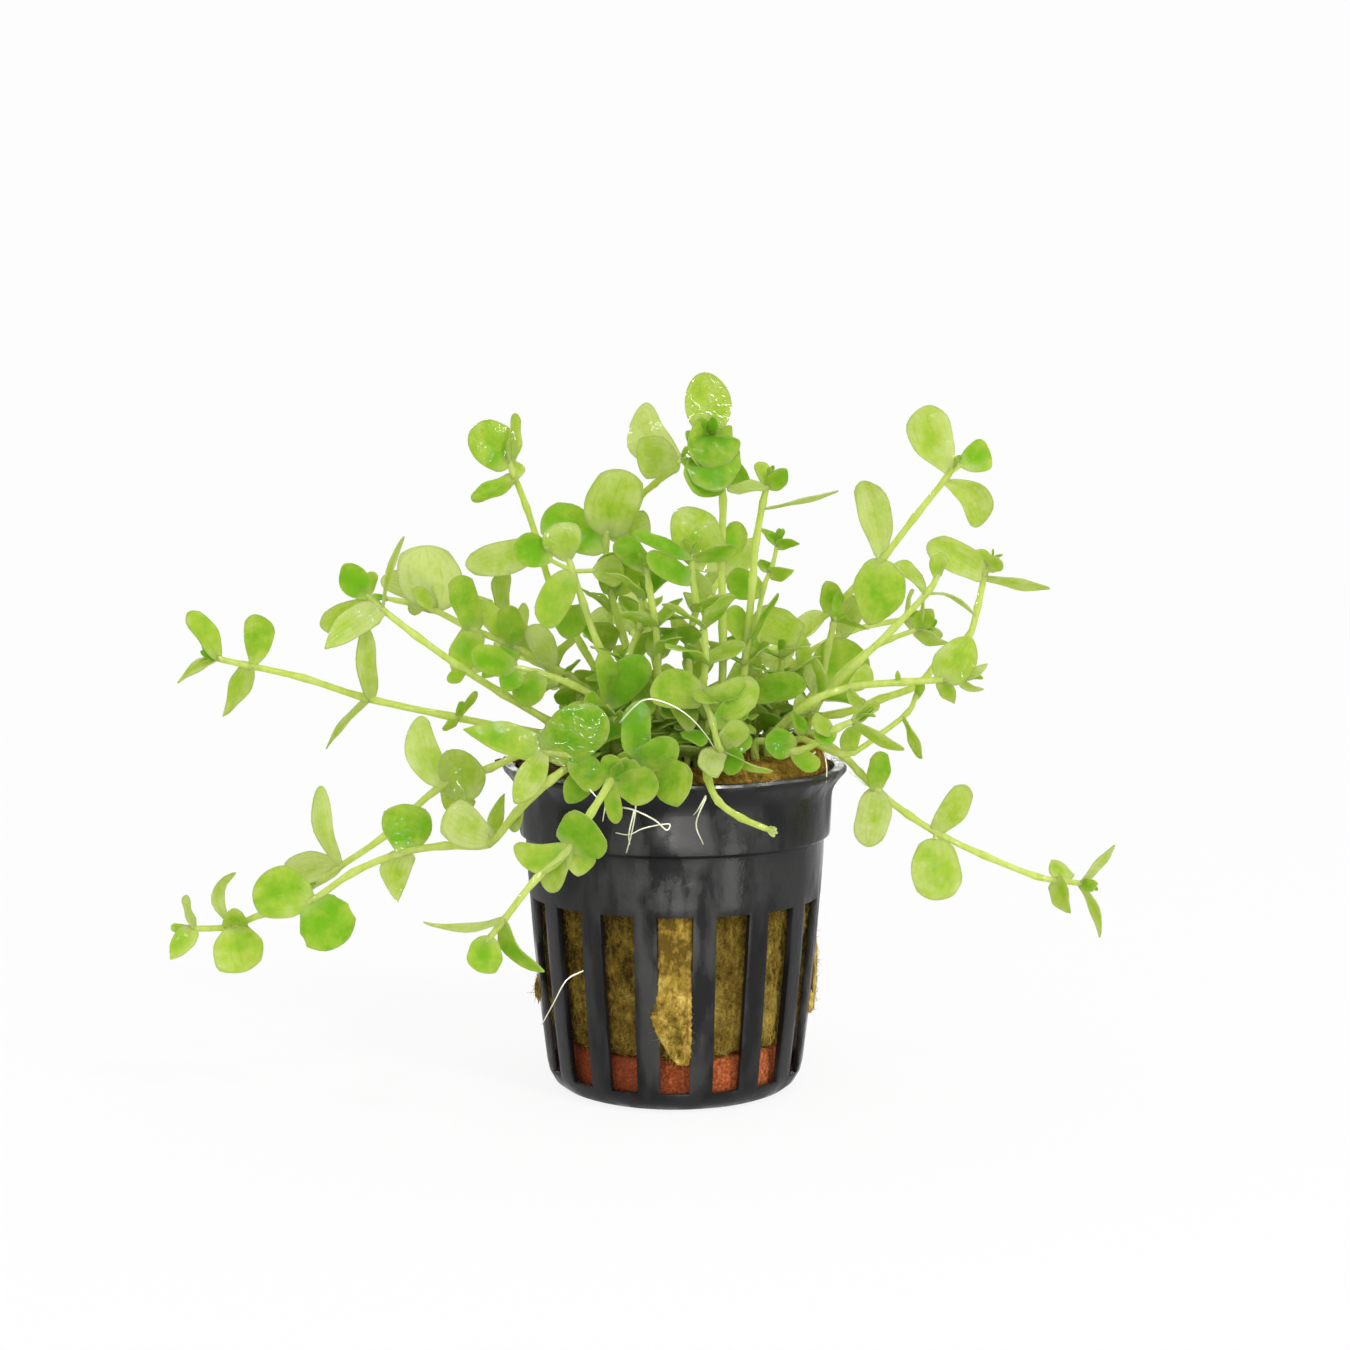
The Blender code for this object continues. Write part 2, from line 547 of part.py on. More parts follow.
def stem_tree(points, radius):
    """The stem as a tree of faces, to test what it would touch."""
    bm = bmesh.new()
    for first, second in zip(points, points[1:]):
        along = second - first
        turn = along.to_track_quat("Z", "Y").to_matrix().to_4x4()
        place = Matrix.Translation((first + second) / 2) @ turn
        ends = {"radius1": radius, "radius2": radius, "depth": along.length}
        bmesh.ops.create_cone(bm, cap_ends=True, segments=6, matrix=place, **ends)
    tree = BVHTree.FromBMesh(bm)
    bm.free()
    return tree


def leaf_facing(base, tip, facing, width, bow):
    """A leaf from its base to its tip, with its upper face towards facing."""
    along = (tip - base).normalized()
    face = (facing - facing.dot(along) * along).normalized()
    side = along.cross(face)
    place = Matrix((side, along, face)).transposed().to_4x4()
    place.translation = base - LEAF_NECK * along
    return {"place": place, "length": (tip - base).length + LEAF_NECK, "width": width, "bow": bow}


def leaf_bmesh(leaf, margin=0.0):
    """A closed blade: a flat sphere with its ends at the base and the tip, narrower near its base and bowed."""
    bm = bmesh.new()
    bmesh.ops.create_uvsphere(bm, u_segments=LEAF_SIDES, v_segments=2, radius=1)
    half = leaf["width"] / 2 + margin
    length = leaf["length"] + 2 * margin
    for vert in bm.verts:
        across = vert.co.x * 1.16 * half
        along = (1 + vert.co.y) / 2
        if 0.1 < along < 0.4:
            across *= 0.62
            along += 0.05
        rise = leaf["bow"] * length * 4 * along * (1 - along)
        thickness = vert.co.z * (LEAF_HALF_THICKNESS + margin)
        vert.co = Vector((across, along * length - margin, rise + thickness))
    bmesh.ops.transform(bm, matrix=leaf["place"], verts=bm.verts)
    return bm


def set_leaf_choices(base, leaf, bow):
    """The places tried for a leaf set by hand: its tip shifts in depth, then the leaf turns, then shrinks."""
    _, across, up, depth, width, turn = leaf
    for shrink in SHRINK_STEPS:
        for more_turn in TURN_STEPS:
            for step in TIP_STEPS:
                tip = base + shrink * (seen(across, up, depth + step) - base)
                along = (tip - base).normalized()
                facing = (EYE - base).normalized()
                facing = (facing - facing.dot(along) * along).normalized()
                facing.rotate(Quaternion(along, math.radians(turn + more_turn)))
                yield leaf_facing(base, tip, facing, width * shrink * MM, bow)


def pair_leaf_choices(base, stem_way, roll, spread, length, bow):
    """The places tried for one leaf of a pair, which looks along its stem: it rolls round it, then spreads."""
    side = stem_way.orthogonal().normalized()
    for shrink in SHRINK_STEPS:
        for more_spread in SPREAD_STEPS:
            for more_roll in ROLL_STEPS:
                out = side.copy()
                out.rotate(Quaternion(stem_way, math.radians(roll + more_roll)))
                angle = math.radians(spread + more_spread)
                way = math.cos(angle) * stem_way + math.sin(angle) * out
                tip = base + shrink * length * way
                yield leaf_facing(base, tip, stem_way, 0.68 * shrink * length, bow)


def leaf_base(shoot, number):
    """The place on the stem, just below the point of that number on its path, that leaves grow from."""
    index = shoot["start"] + number
    point = shoot["points"][index]
    return point + LEAF_DROP * (shoot["points"][index - 1] - point).normalized()


def is_clear(tree, owner, placed):
    return not any(other != owner and tree.overlap(around) for other, around in placed)


def back_points(azimuth, number, wool_tree):
    """The points of a shoot behind, which rises and leans out over the rim."""
    out = Vector((math.cos(azimuth), math.sin(azimuth), 0))
    root = out * BACK_ROOT_RADII[number % 2]
    foot, above = stem_start(root.x, root.y, BACK_STEM, wool_tree)
    points = [foot]
    for node in range(1, BACK_NODES + 1):
        along = node / BACK_NODES
        rise = BACK_HEIGHTS[number % 3] * math.sin(along * math.pi / 2)
        points.append(above + out * BACK_REACHES[number % 3] * along**1.3 + Vector((0, 0, rise)))
    return points


def back_shoots(wool_tree, placed, first_owner):
    """The shoots behind, which turn about the pot's axis until they are clear of the others."""
    made = []
    for number in range(BACK_COUNT):
        owner = first_owner + number
        share = number / (BACK_COUNT - 1)
        azimuth = math.radians(BACK_FIRST_AZIMUTH + share * (BACK_LAST_AZIMUTH - BACK_FIRST_AZIMUTH))
        for step in BACK_STEPS:
            points = back_points(azimuth + math.radians(step), number, wool_tree)
            if is_clear(stem_tree(points, BACK_STEM + GAP), owner, placed):
                break
        else:
            print("shoot behind has no clear path:", number + 1)
        placed.append((owner, stem_tree(points, BACK_STEM)))
        pairs = [(node, 90 * (node % 2)) for node in range(BACK_NODES)]
        made.append({"name": f"shoot_back_{number + 1}", "points": points, "start": 1, "radius": BACK_STEM,
                     "leaves": [], "pairs": pairs})
    return made


def stem_start(x, y, radius, wool_tree):
    """The first two points of a stem, which stands upright just clear of the wool."""
    top = wool_tree.ray_cast(Vector((x, y, 2 * POT_HEIGHT)), Vector((0, 0, -1)))[0]
    foot = top + Vector((0, 0, GAP + 0.7 * radius))
    return foot, foot + Vector((0, 0, STEM_RISE))


def front_shoots(wool_tree, placed):
    """The shoots set by hand. A stem that would touch another moves in depth, which the front doesn't show."""
    made = []
    for number, shoot in enumerate(SHOOTS):
        radius = shoot.get("stem", 0.78) * MM
        start = stem_start(shoot["root"][0] * MM, shoot["root"][1] * MM, radius, wool_tree)
        if (seen(*shoot["path"][0]) - start[0]).normalized().z > STEEP:
            start = start[:1]
        for step in PATH_STEPS:
            points = [*start] + [seen(across, up, depth + step) for across, up, depth in shoot["path"]]
            if is_clear(stem_tree(points, radius + GAP), number, placed):
                break
        else:
            print(shoot["name"], "has no clear path")
        placed.append((number, stem_tree(points, radius)))
        made.append({"name": shoot["name"], "points": points, "start": len(start), "radius": radius,
                     "leaves": shoot["leaves"], "pairs": shoot.get("pairs", [])})
    return made


def place_first_clear(choices, owner, placed, blades, name):
    for leaf in choices:
        tested = leaf_bmesh(leaf, GAP)
        tree = BVHTree.FromBMesh(tested)
        tested.free()
        if is_clear(tree, owner, placed):
            bm = leaf_bmesh(leaf)
            placed.append((owner, BVHTree.FromBMesh(bm)))
            blades.append(bm)
            return
    print(name, "has no room for one leaf")


def main():
    for old in list(bpy.data.objects):
        bpy.data.objects.remove(old)
    scene = bpy.context.scene.collection
    home = collection("bacopa", scene)
    cutters = collection("cutters", scene, hidden=True)
    pot = net_pot(home, cutters)
    clay_ring(home)
    wool = rock_wool(home)
    bpy.context.view_layer.update()
    graph = bpy.context.evaluated_depsgraph_get()
    wool_tree = BVHTree.FromObject(wool, graph)
    placed = [(None, wool_tree), (None, BVHTree.FromObject(pot, graph))]
    shoots = front_shoots(wool_tree, placed)
    shoots += back_shoots(wool_tree, placed, len(shoots))
    blades = {shoot["name"]: [] for shoot in shoots}
    for number, shoot in enumerate(shoots):
        draw = random.Random(number)
        for leaf in shoot["leaves"]:
            bow = draw.uniform(-0.03, 0.07)
            choices = set_leaf_choices(leaf_base(shoot, leaf[0]), leaf, bow)
            place_first_clear(choices, number, placed, blades[shoot["name"]], shoot["name"])
    for number, shoot in enumerate(shoots):
        draw = random.Random(100 + number)
        for node, roll in shoot["pairs"]:
            base = leaf_base(shoot, node)
            stem_way = (shoot["points"][shoot["start"] + node] - base).normalized()
            for turn in (0, 180):
                spread = draw.uniform(52, 74)
                length = draw.uniform(6.2, 8.8) * MM
                bow = draw.uniform(0.02, 0.09)
                choices = pair_leaf_choices(base, stem_way, roll + turn, spread, length, bow)
                place_first_clear(choices, number, placed, blades[shoot["name"]], shoot["name"])
    section = stem_section(cutters)
    green = material("plant", (0.28, 0.5, 0.06), 0.45)
    for shoot in shoots:
        stem = stem_object(shoot["name"], shoot["points"], shoot["radius"], section, home, green)
        if not blades[shoot["name"]]:
            continue
        leaves = collection(shoot["name"] + "_leaves", cutters, hidden=True)
        for number, bm in enumerate(blades[shoot["name"]]):
            name = f"{shoot['name']}_leaf_{number + 1}"
            helper(name, mesh_of(bm, name), leaves)
        join = stem.modifiers.new("Leaves", "BOOLEAN")
        join.operation = "UNION"
        join.solver = "EXACT"
        join.operand_type = "COLLECTION"
        join.collection = leaves
    print(sum(len(made) for made in blades.values()), "leaves on", len(shoots), "shoots")


main()
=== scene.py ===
import itertools
import math
import random

import bmesh
import bpy
from mathutils import Matrix, Quaternion, Vector, noise
from mathutils.bvhtree import BVHTree


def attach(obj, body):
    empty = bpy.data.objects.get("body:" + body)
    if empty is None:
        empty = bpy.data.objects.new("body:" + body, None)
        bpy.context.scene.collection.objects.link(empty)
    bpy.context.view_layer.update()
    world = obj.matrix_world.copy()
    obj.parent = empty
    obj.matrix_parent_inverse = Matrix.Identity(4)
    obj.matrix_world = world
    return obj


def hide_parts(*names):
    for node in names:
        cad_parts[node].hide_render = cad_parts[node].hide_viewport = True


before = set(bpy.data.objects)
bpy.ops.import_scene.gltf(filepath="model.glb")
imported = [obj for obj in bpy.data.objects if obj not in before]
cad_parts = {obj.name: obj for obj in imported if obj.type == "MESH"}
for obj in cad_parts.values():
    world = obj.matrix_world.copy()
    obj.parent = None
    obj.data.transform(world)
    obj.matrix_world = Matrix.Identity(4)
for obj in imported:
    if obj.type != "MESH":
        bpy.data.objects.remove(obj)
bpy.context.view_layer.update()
mm = 0.001
down = Vector((0, 0, -1))

# the camera, as fitted to the pot's rim, band and slots
view = {"eye": Vector((0, -373 * mm, 98 * mm)), "pitchDown": 5.41, "lens": 66.16, "sensor": 36, "near": 0.01}

# the same shoots as in the solids: root (x, y), points as seen from the front (across, up, depth) in mm,
# leaves as (stem point, tip across, up, depth, width, turn, own form) and pairs as (stem point, roll);
# "more" are leaves and "end" a last point of the stem that the solids don't have
shoots = [
    {"name": "shoot_far_left", "root": (-15, 3), "path": [
        (-24, 54.4, 3), (-34, 56.4, 1), (-46.8, 59.2, -1), (-56, 62.2, -2), (-64.8, 64.2, -3),
        (-69.8, 65.3, -3),
     ], "leaves": [
        (2, -46.9, 71.5, -4, 5, 55, {"neck": 0.05, "point": 0.65, "sway": -0.1, "tint": 0.75}),
        (2, -53, 51.5, 2, 4.6, 66, {"wide": 0.7, "point": 0.75, "neck": 0.1, "tint": 0.7}),
        (4, -63.3, 72, -5, 4.8, 15, {"tint": 0.3, "neck": 0.75, "sway": 0.08}),
        (4, -67.4, 56.2, -1, 4.6, 50, {"point": 0.9, "neck": 0, "wide": 1.15, "tint": 0.6}),
        (5, -73.4, 72.2, -5, 4.6, 45, {"tint": 0.4, "point": 0.3, "curl": 0}),
        (5, -75.3, 61.6, -2, 3.6, 68, {"point": 0.85, "neck": 0.1, "sway": 0.12, "tint": 0.8}),
        (1, -30, 60.2, 4, 2.6, 50, {"wide": 0.6}), (1, -34.4, 53.8, -3, 2.4, 40),
     ], "more": [(5, -71.6, 66.3, -4, 1.2, 0, {"tint": -0.2}), (1, -32, 58.9, 0, 1.5, 20, {"tint": 0.3})]},
    {"name": "shoot_left", "root": (-13, -4), "path": [
        (-19, 55.6, -6), (-26, 59.8, -7), (-32.6, 64, -7), (-39, 68.6, -7), (-44.8, 73.2, -6),
        (-46.8, 75.2, -6),
     ], "leaves": [
        (4, -41.9, 83.8, -5, 4, 76, {"wide": 0.6}),
        (4, -52.9, 66.4, -10, 5, 15, {"point": 0.75, "neck": 0.1, "tint": 0.7}),
        (4, -52.5, 70.2, -2, 5.4, 10, {"point": 0.4, "neck": 0.1, "tint": 0.6}),
        (5, -50.2, 79.4, -9, 5, 0, {"tint": 0.05, "point": 0.5}), (5, -45.4, 78, -3, 2, 20),
        (2, -34.2, 61.4, -8, 2.2, 20),
     ]},
    {"name": "shoot_left_pale", "root": (-9, 6), "path": [
        (-13, 60.3, 5), (-19.5, 64.3, 4), (-24.6, 67.2, 4), (-31, 69.8, 4), (-37, 72.8, 5), (-43.6, 74.3, 5),
     ], "leaves": [
        (3, -32.4, 77.9, 2, 4.4, 0), (3, -32.7, 62.6, 1, 5, 5, {"point": 0.4, "neck": 0.2, "tint": 0.4}),
        (4, -43.6, 77, 9, 6.8, 5, {"tint": 0.95, "wide": 0.62, "sway": 0.12}),
        (4, -37.4, 82.4, 9, 8.6, 5, {"tint": 0.95, "neck": 0.2, "wide": 1.18, "uneven": -0.12, "ragged": 0}),
        (4, -39.8, 75.6, 2, 2.8, 25), (2, -30, 73.3, 6, 3.8, 10), (2, -25.3, 73.5, 1, 3.8, 5),
        (2, -23, 73.6, 6, 2.6, 50), (2, -29.2, 62.4, 2, 4.2, 10, {"point": 0.6, "neck": 0.1, "tint": 0.1}),
        (1, -21.8, 70.2, 3, 4.2, 0, {"tint": 0.85}),
     ]},
    {"name": "shoot_low_left_short", "root": (-16, -8), "path": [
        (-22.5, 50.8, -12), (-28, 48.5, -12), (-35.8, 45.5, -11), (-44, 38.2, -10), (-51.6, 33, -9),
        (-54.6, 30.8, -9),
     ], "leaves": [
        (2, -38.7, 56.4, -9, 5.6, 5, {"sway": -0.13, "tint": 0.75, "point": 0.3, "wide": 0.95}),
        (2, -28.4, 48.4, -16, 7.6, 0, {"tint": 0.5, "wet": 1, "neck": -0.1, "wide": 1.08, "round": 1,
            "sway": -0.1}),
        (2, -31.6, 42.2, -8, 4.4, 10),
        (4, -53.9, 45.8, -8, 4.2, 42, {"wide": 0.95, "sway": -0.16, "tint": 0.9, "neck": 0.5, "curl": 0}),
        (4, -60.2, 31.2, -5, 6.4, 5, {"tint": 0.95}),
     ]},
    {"name": "shoot_low_left_long", "root": (-12, -13), "path": [
        (-15, 49.4, -20), (-18.8, 46.7, -23), (-24, 41.8, -23), (-28.4, 36.9, -22), (-35, 36.6, -21),
        (-41.7, 35.5, -20), (-49, 32.5, -19), (-56, 27.8, -18), (-62.5, 26.2, -17), (-68, 24.1, -16),
        (-74.2, 23.8, -15),
     ], "leaves": [
        (3, -34.8, 41.8, -26, 6, 0, {"tint": 0.8, "neck": 0.6}),
        (3, -26.3, 44.5, -18, 3.4, 40, {"point": 0.9, "neck": 0.05, "wide": 0.85, "tint": 0.5}),
        (2, -24.5, 39, -21, 2.2, 30),
        (5, -41.2, 43.3, -22, 7, 0, {"tint": 0.12, "wet": 1, "neck": 0.55, "wide": 1.05, "ragged": 0}),
        (5, -42, 28.4, -18, 4.8, 15, {"point": 0.8, "neck": 0, "sway": 0.14, "tint": 0.7}),
        (7, -64.2, 29.6, -21, 8, 0, {"neck": 0.5, "tint": 0.3, "ragged": 0.02}),
        (7, -50.6, 21.6, -21, 8.2, 0, {"tint": 0.05, "wave": 0.14, "neck": 0.35, "ragged": 0.045,
            "lobes": 3.4}),
        (9, -66.2, 32.5, -14, 4.2, 55, {"wide": 0.8, "sway": -0.35, "bow": -0.2, "point": 0.3, "neck": 0.2,
            "tint": 0.9}),
        (9, -65.6, 16.9, -19, 7.6, 0, {"neck": 0.55, "tint": 0.45, "fold": 0.25}),
        (10, -75, 28.7, -13, 3.6, 68),
        (10, -77.1, 19.1, -17, 3.8, 20, {"neck": 0.1, "point": 0.8, "tint": 0.5}),
     ], "more": [(9, -67.2, 26.6, -20, 3.6, 0, {"tint": 0.45, "neck": -0.3, "round": 0.8})]},
    {"name": "shoot_front_left", "root": (-7.5, -18), "path": [
        (-10, 46.2, -28), (-12.7, 41.7, -31), (-16.6, 35.6, -33), (-21, 31.7, -34), (-26.6, 24.5, -35),
        (-29, 21.6, -35),
     ], "leaves": [
        (2, -12.2, 40.8, -36, 7.8, 0, {"tint": 0.1, "neck": 0.35}),
        (2, -13.4, 33.1, -31, 4, 0, {"tint": 0.5}),
        (2, -24.3, 36.1, -32, 4.8, 10, {"sway": -0.2, "tint": 0.4, "wide": 0.9}),
        (2, -18.8, 29.8, -31, 3.8, 10),
        (4, -38.2, 23.9, -34, 4.4, 62, {"wide": 0.62, "point": 0.7, "neck": 0.1, "tint": 0.85, "sway": 0,
            "bow": -0.08}),
        (4, -20.3, 16.8, -35, 4.2, 60, {"point": 0.6, "neck": 0.1, "sway": 0.16, "tint": 0.2}),
        (5, -30, 17, -37, 5, 0, {"tint": 0.2}), (0, -2.2, 45.3, -31, 5.6, 0, {"tint": 0.25}),
        (0, -9, 40.1, -30, 2.4, 10), (0, -7.3, 50.6, -29, 3, 10, {"tint": 0.4, "point": 0.6}),
     ], "more": [(0, -9.4, 51, -29, 3.4, 0, {"tint": 0.2}), (0, -4.8, 48.6, -29, 4.6, 10, {"tint": 0.1})]},
    {"name": "shoot_front_arch", "root": (-10, -15),
     "path": [(-10.8, 47.6, -25), (-12.8, 49.3, -26), (-16.5, 50.5, -25), (-20.6, 50.9, -23)], "leaves": [
        (3, -32, 53.4, -20, 5.4, 20, {"point": 0.85, "neck": 0.1, "tint": 0.35}),
        (3, -24.4, 42.3, -28, 5.2, 0, {"tint": 0.6, "point": 0.5, "wide": 0.88, "round": 1}),
        (3, -10.8, 56.2, -26, 8, 0, {"tint": 0.15, "wet": 1, "neck": 0.2}),
        (1, -16.4, 43.2, -24, 4.6, 10, {"tint": 0.2, "point": 0.5}), (2, -11.4, 45.2, -28, 4.6, 5),
     ]},
    {"name": "shoot_left_bend", "root": (-6, -9), "path": [
        (-8.9, 51, -17), (-8.9, 55, -18), (-10.8, 58.4, -17), (-15.5, 61.2, -15), (-20.5, 63, -13),
        (-25, 64, -12),
     ], "leaves": [
        (5, -31, 66.2, -14, 4.6, 10, {"point": 0.3, "tint": 0.2}),
        (5, -26, 59.8, -12, 4, 10, {"point": 0.75, "neck": 0.1, "tint": 0.1}),
        (4, -24.2, 58.7, -9, 5, 10, {"tint": 0.2, "point": 0.3}),
        (2, -10.8, 66, -18, 3.2, 20, {"tint": 0.2}), (2, -4.6, 65.4, -16, 5.4, 5, {"tint": 0.05}),
     ], "more": [
        (1, -6, 56.2, -22, 4, 0, {"tint": 0.1}), (1, -5, 52.6, -24, 4.6, 0, {"tint": 0.25}),
        (2, -14.6, 57.6, -19, 4.4, 10, {"tint": 0.15}),
     ]},
    {"name": "shoot_upper_left", "root": (-4, 6), "path": [
        (-9, 59, 7), (-14, 67, 8), (-18.6, 76, 8), (-20.7, 83, 7), (-22.3, 88, 6), (-24.3, 93.2, 5),
        (-25, 95.3, 5),
     ], "leaves": [
        (5, -30.3, 88.6, 3, 4.8, 52), (5, -23.4, 94.9, 9, 2, 30),
        (6, -30.8, 99.6, 2, 7, 0, {"neck": 0.05, "wet": 1, "tint": 0.35, "round": 0.9, "point": 0.1}),
        (6, -24, 102, 6, 4.6, 58), (3, -31.5, 79.2, 9, 5.8, 5, {"tint": 0.85, "point": 0.45}),
     ]},
    {"name": "shoot_upper_left_leafy", "root": (-5, -4),
     "path": [(-8, 60, -6), (-11.5, 67, -7), (-13.8, 73.5, -7), (-15.7, 79.2, -7), (-16.2, 81, -7)],
     "leaves": [
        (3, -19.4, 69.6, -11, 5.2, 0, {"tint": 0.4, "neck": 0.3}),
        (3, -24.2, 82.8, -10, 5, 5, {"stalk": 0.38, "tint": 0.1}),
        (3, -7.6, 78.6, -7, 4.8, 10, {"stalk": 0.4, "tint": 0.5}),
        (4, -17.4, 85.4, -10, 5.2, 0, {"tint": 0.6, "wet": 1, "neck": 0.72, "wide": 1.15, "round": 0.85}),
        (2, -17, 69.6, -3, 4.6, 10),
     ]},
    {"name": "shoot_upper_middle", "root": (-2, 3),
     "path": [(-5, 60, 3), (-8, 69, 2), (-9.8, 76, 1), (-10.4, 82.8, 0), (-10, 84.6, 0)], "leaves": [
        (3, -19.4, 86.6, 3, 6.6, 5, {"tint": 0.1, "neck": 0.3, "round": 0.75}),
        (4, -7.6, 93.3, -4, 8.2, 0, {"tint": 0.6, "neck": 0.15, "ragged": 0.06, "round": 0.85, "point": 0}),
        (4, -3.4, 85.9, 4, 4.8, 10, {"tint": 0.75}), (2, -10.2, 82.3, -6, 4.8, 10),
        (2, -5, 80.5, -2, 4.4, 15),
     ]},
    {"name": "shoot_top_left", "root": (0, 8), "path": [
        (-2, 60, 9), (-4.5, 72, 9), (-6, 82, 8), (-5.6, 88.6, 7), (-3, 91.5, 6), (-0.6, 93.3, 5),
        (1, 95.4, 5),
     ], "leaves": [
        (6, -4.9, 103.4, 6, 6.2, 0, {"tint": 0.95, "wide": 1.05, "sway": -0.2, "neck": 0.1, "point": 0.1,
            "round": 1}),
        (6, -5.9, 93.6, 0, 5.6, 0, {"tint": 0.6, "wide": 1.2, "sway": 0.12, "uneven": 0.2, "neck": 0.3}),
     ], "pairs": [(1, 20)]},
    {"name": "shoot_top", "root": (5, -3), "path": [
        (7, 60, -5), (7.2, 70, -6), (7, 80, -6), (7.2, 89, -6), (6.6, 93.5, -6), (5.4, 97.3, -6),
        (4.9, 99.6, -6),
     ], "leaves": [
        (6, 4.5, 108.2, -7, 7, 0, {"tint": 0.6, "wet": 1, "neck": 0.12, "ragged": 0, "uneven": 0,
            "round": 1}),
        (5, 1, 97.2, -11, 5.2, 20, {"wide": 1.5, "neck": 0, "tint": 0.25}),
        (5, 8.8, 97.6, -3, 4.6, 20, {"wide": 1.5, "neck": 0, "tint": 0.3}),
        (4, 1.6, 93, -12, 5.4, 25, {"wide": 1.35, "neck": 0, "tint": 0.1, "wet": 0.1}),
        (4, 10.2, 94, -8, 5, 25, {"wide": 1.4, "neck": 0, "tint": 0.15, "wet": 0.3}),
        (2, -0.4, 87.3, -10, 7, 5, {"wet": 1, "tint": 0.5, "wide": 1.12, "neck": 0.3}),
        (2, 9.4, 85.5, -3, 4, 15),
     ], "more": [
        (6, 5.9, 101.9, -10, 1.5, 0, {"tint": -0.2}), (6, 3.6, 101.4, -10, 1.3, 10, {"tint": 0.1}),
        (6, 4.6, 93.9, -11, 8, 0, {"tint": 0.2, "neck": -0.2, "cup": 0, "fold": 0, "wet": 0.08, "curl": 0,
            "bow": 0.22, "round": 0.9}),
        (5, 6.1, 90.3, -12, 8.8, 0, {"tint": 0.12, "neck": -0.1, "cup": 0, "fold": 0, "wet": 0.2,
            "curl": 0, "bow": 0.2, "round": 0.9}),
     ]},
    {"name": "shoot_top_right", "root": (10, -4), "path": [
        (10.2, 60, -6), (10.9, 68, -6), (11.7, 77, -6), (12.2, 83, -6), (13.2, 88.7, -7), (14, 92, -7),
     ], "leaves": [
        (5, 16.7, 93.6, -10, 3.2, 20, {"point": 0.5, "tint": 0.1}), (5, 12.6, 94.4, -4, 2.6, 30),
        (4, 24.5, 90.5, -6, 3.8, 74, {"tint": 0.9, "sway": -0.05, "wide": 0.6, "point": 0.4, "curl": 0,
            "bow": 0.03, "twist": 0}),
        (5, 8, 90.6, -9, 4.4, 55, {"tint": 0.85, "wide": 0.75}), (1, 15.3, 75.2, -9, 3.6, 70),
        (0, 20, 61.4, -8, 4.8, 15, {"tint": 0.15, "point": 0.3}), (1, 8.6, 73, -4, 3.6, 20),
     ]},
    {"name": "shoot_thin", "root": (12, 3), "stem": 0.55,
     "path": [(12.8, 62, 3), (12.4, 70, 3), (13.4, 76, 2), (14.6, 79, 2), (15.5, 83, 2)], "leaves": [
        (4, 18.9, 83, 0, 2.2, 30, {"point": 0.85, "neck": 0.1}),
        (4, 12.9, 85, 4, 2.4, 55, {"point": 0.85, "neck": 0.1}),
        (3, 17.7, 78.4, -1, 3.2, 20, {"point": 0.85, "neck": 0.1, "wide": 0.8}),
        (3, 12.8, 79.6, 5, 2.6, 40, {"point": 0.8, "neck": 0.1}), (2, 8.2, 77.6, 5, 4.8, 5),
     ], "more": [(0, 19.5, 63.9, 1, 2, 20, {"point": 0.4, "tint": 0.3})]},
    {"name": "shoot_right_high", "root": (9, 8), "path": [
        (14.5, 63, 8), (19.6, 69.2, 7), (24.2, 73, 6), (28, 77, 5), (31.5, 80.6, 4), (36, 86.5, 3),
        (40.7, 92.4, 2), (41.5, 93.8, 2),
     ], "leaves": [
        (1, 12, 71.6, 3, 5.8, 5), (2, 22.6, 77.2, 3, 4, 10, {"point": 0.6, "neck": 0.1, "tint": 0.4}),
        (2, 29.3, 70.3, 9, 3.4, 55, {"wide": 0.6, "point": 0.8, "neck": 0.1, "tint": 0.5}),
        (4, 28.2, 92.2, 2, 5.8, 5, {"wide": 0.95, "point": 0.3, "neck": 0.7, "tint": 0.8, "sway": 0.05}),
        (4, 29.3, 70.3, -1, 7.8, 0, {"neck": 0.2, "point": 0.4, "tint": 0.35, "wide": 1.08, "round": 1}),
        (7, 37.3, 103.1, 0, 7, 0, {"wide": 0.98, "neck": 0.7, "tint": 0.7, "uneven": -0.2, "round": 1,
            "point": 0}),
        (7, 47, 97, 6, 5, 5, {"stalk": 0.3, "neck": 0.3, "tint": 0.2}),
        (6, 45.8, 84.9, 3, 5, 5, {"sway": -0.24, "tint": 0.65, "neck": 0.7}),
     ]},
    {"name": "shoot_right_round", "root": (16, 3), "end": (24.4, 73, 4),
     "path": [(21.6, 60.6, 3), (23, 66.5, 3), (23.9, 70.4, 2)], "leaves": [
        (0, 27.7, 66.6, 6, 6.8, 5, {"wide": 1.2, "tint": 0.4, "neck": 0.3}), (0, 18, 68.6, 1, 3.2, 30),
        (0, 18.9, 64.4, 6, 2.2, 20),
     ], "more": [(2, 24.6, 75.4, 3, 1.6, 0, {"tint": 0.2})]},
    {"name": "shoot_right_long", "root": (15, -6), "path": [
        (18, 55.5, -8), (22.5, 59.6, -8), (27.6, 64.6, -8), (33, 69.8, -8), (38.2, 75.4, -8),
        (39.8, 78.4, -8),
     ], "leaves": [
        (4, 32.1, 79, -10, 4, 50, {"wide": 0.8, "sway": 0.2, "point": 0.4, "tint": 0.6}),
        (4, 45.1, 71.3, -7, 3.6, 76, {"wide": 0.6, "bow": -0.2, "tint": 0.9}),
        (5, 39.2, 81.2, -9, 3.6, 20, {"tint": 0.5, "wide": 0.8}), (4, 37.4, 70.4, -6, 2, 60, {"wide": 0.4}),
     ], "pairs": [(1, 60)]},
    {"name": "shoot_right_branch", "root": (18, -1), "stem": 0.65,
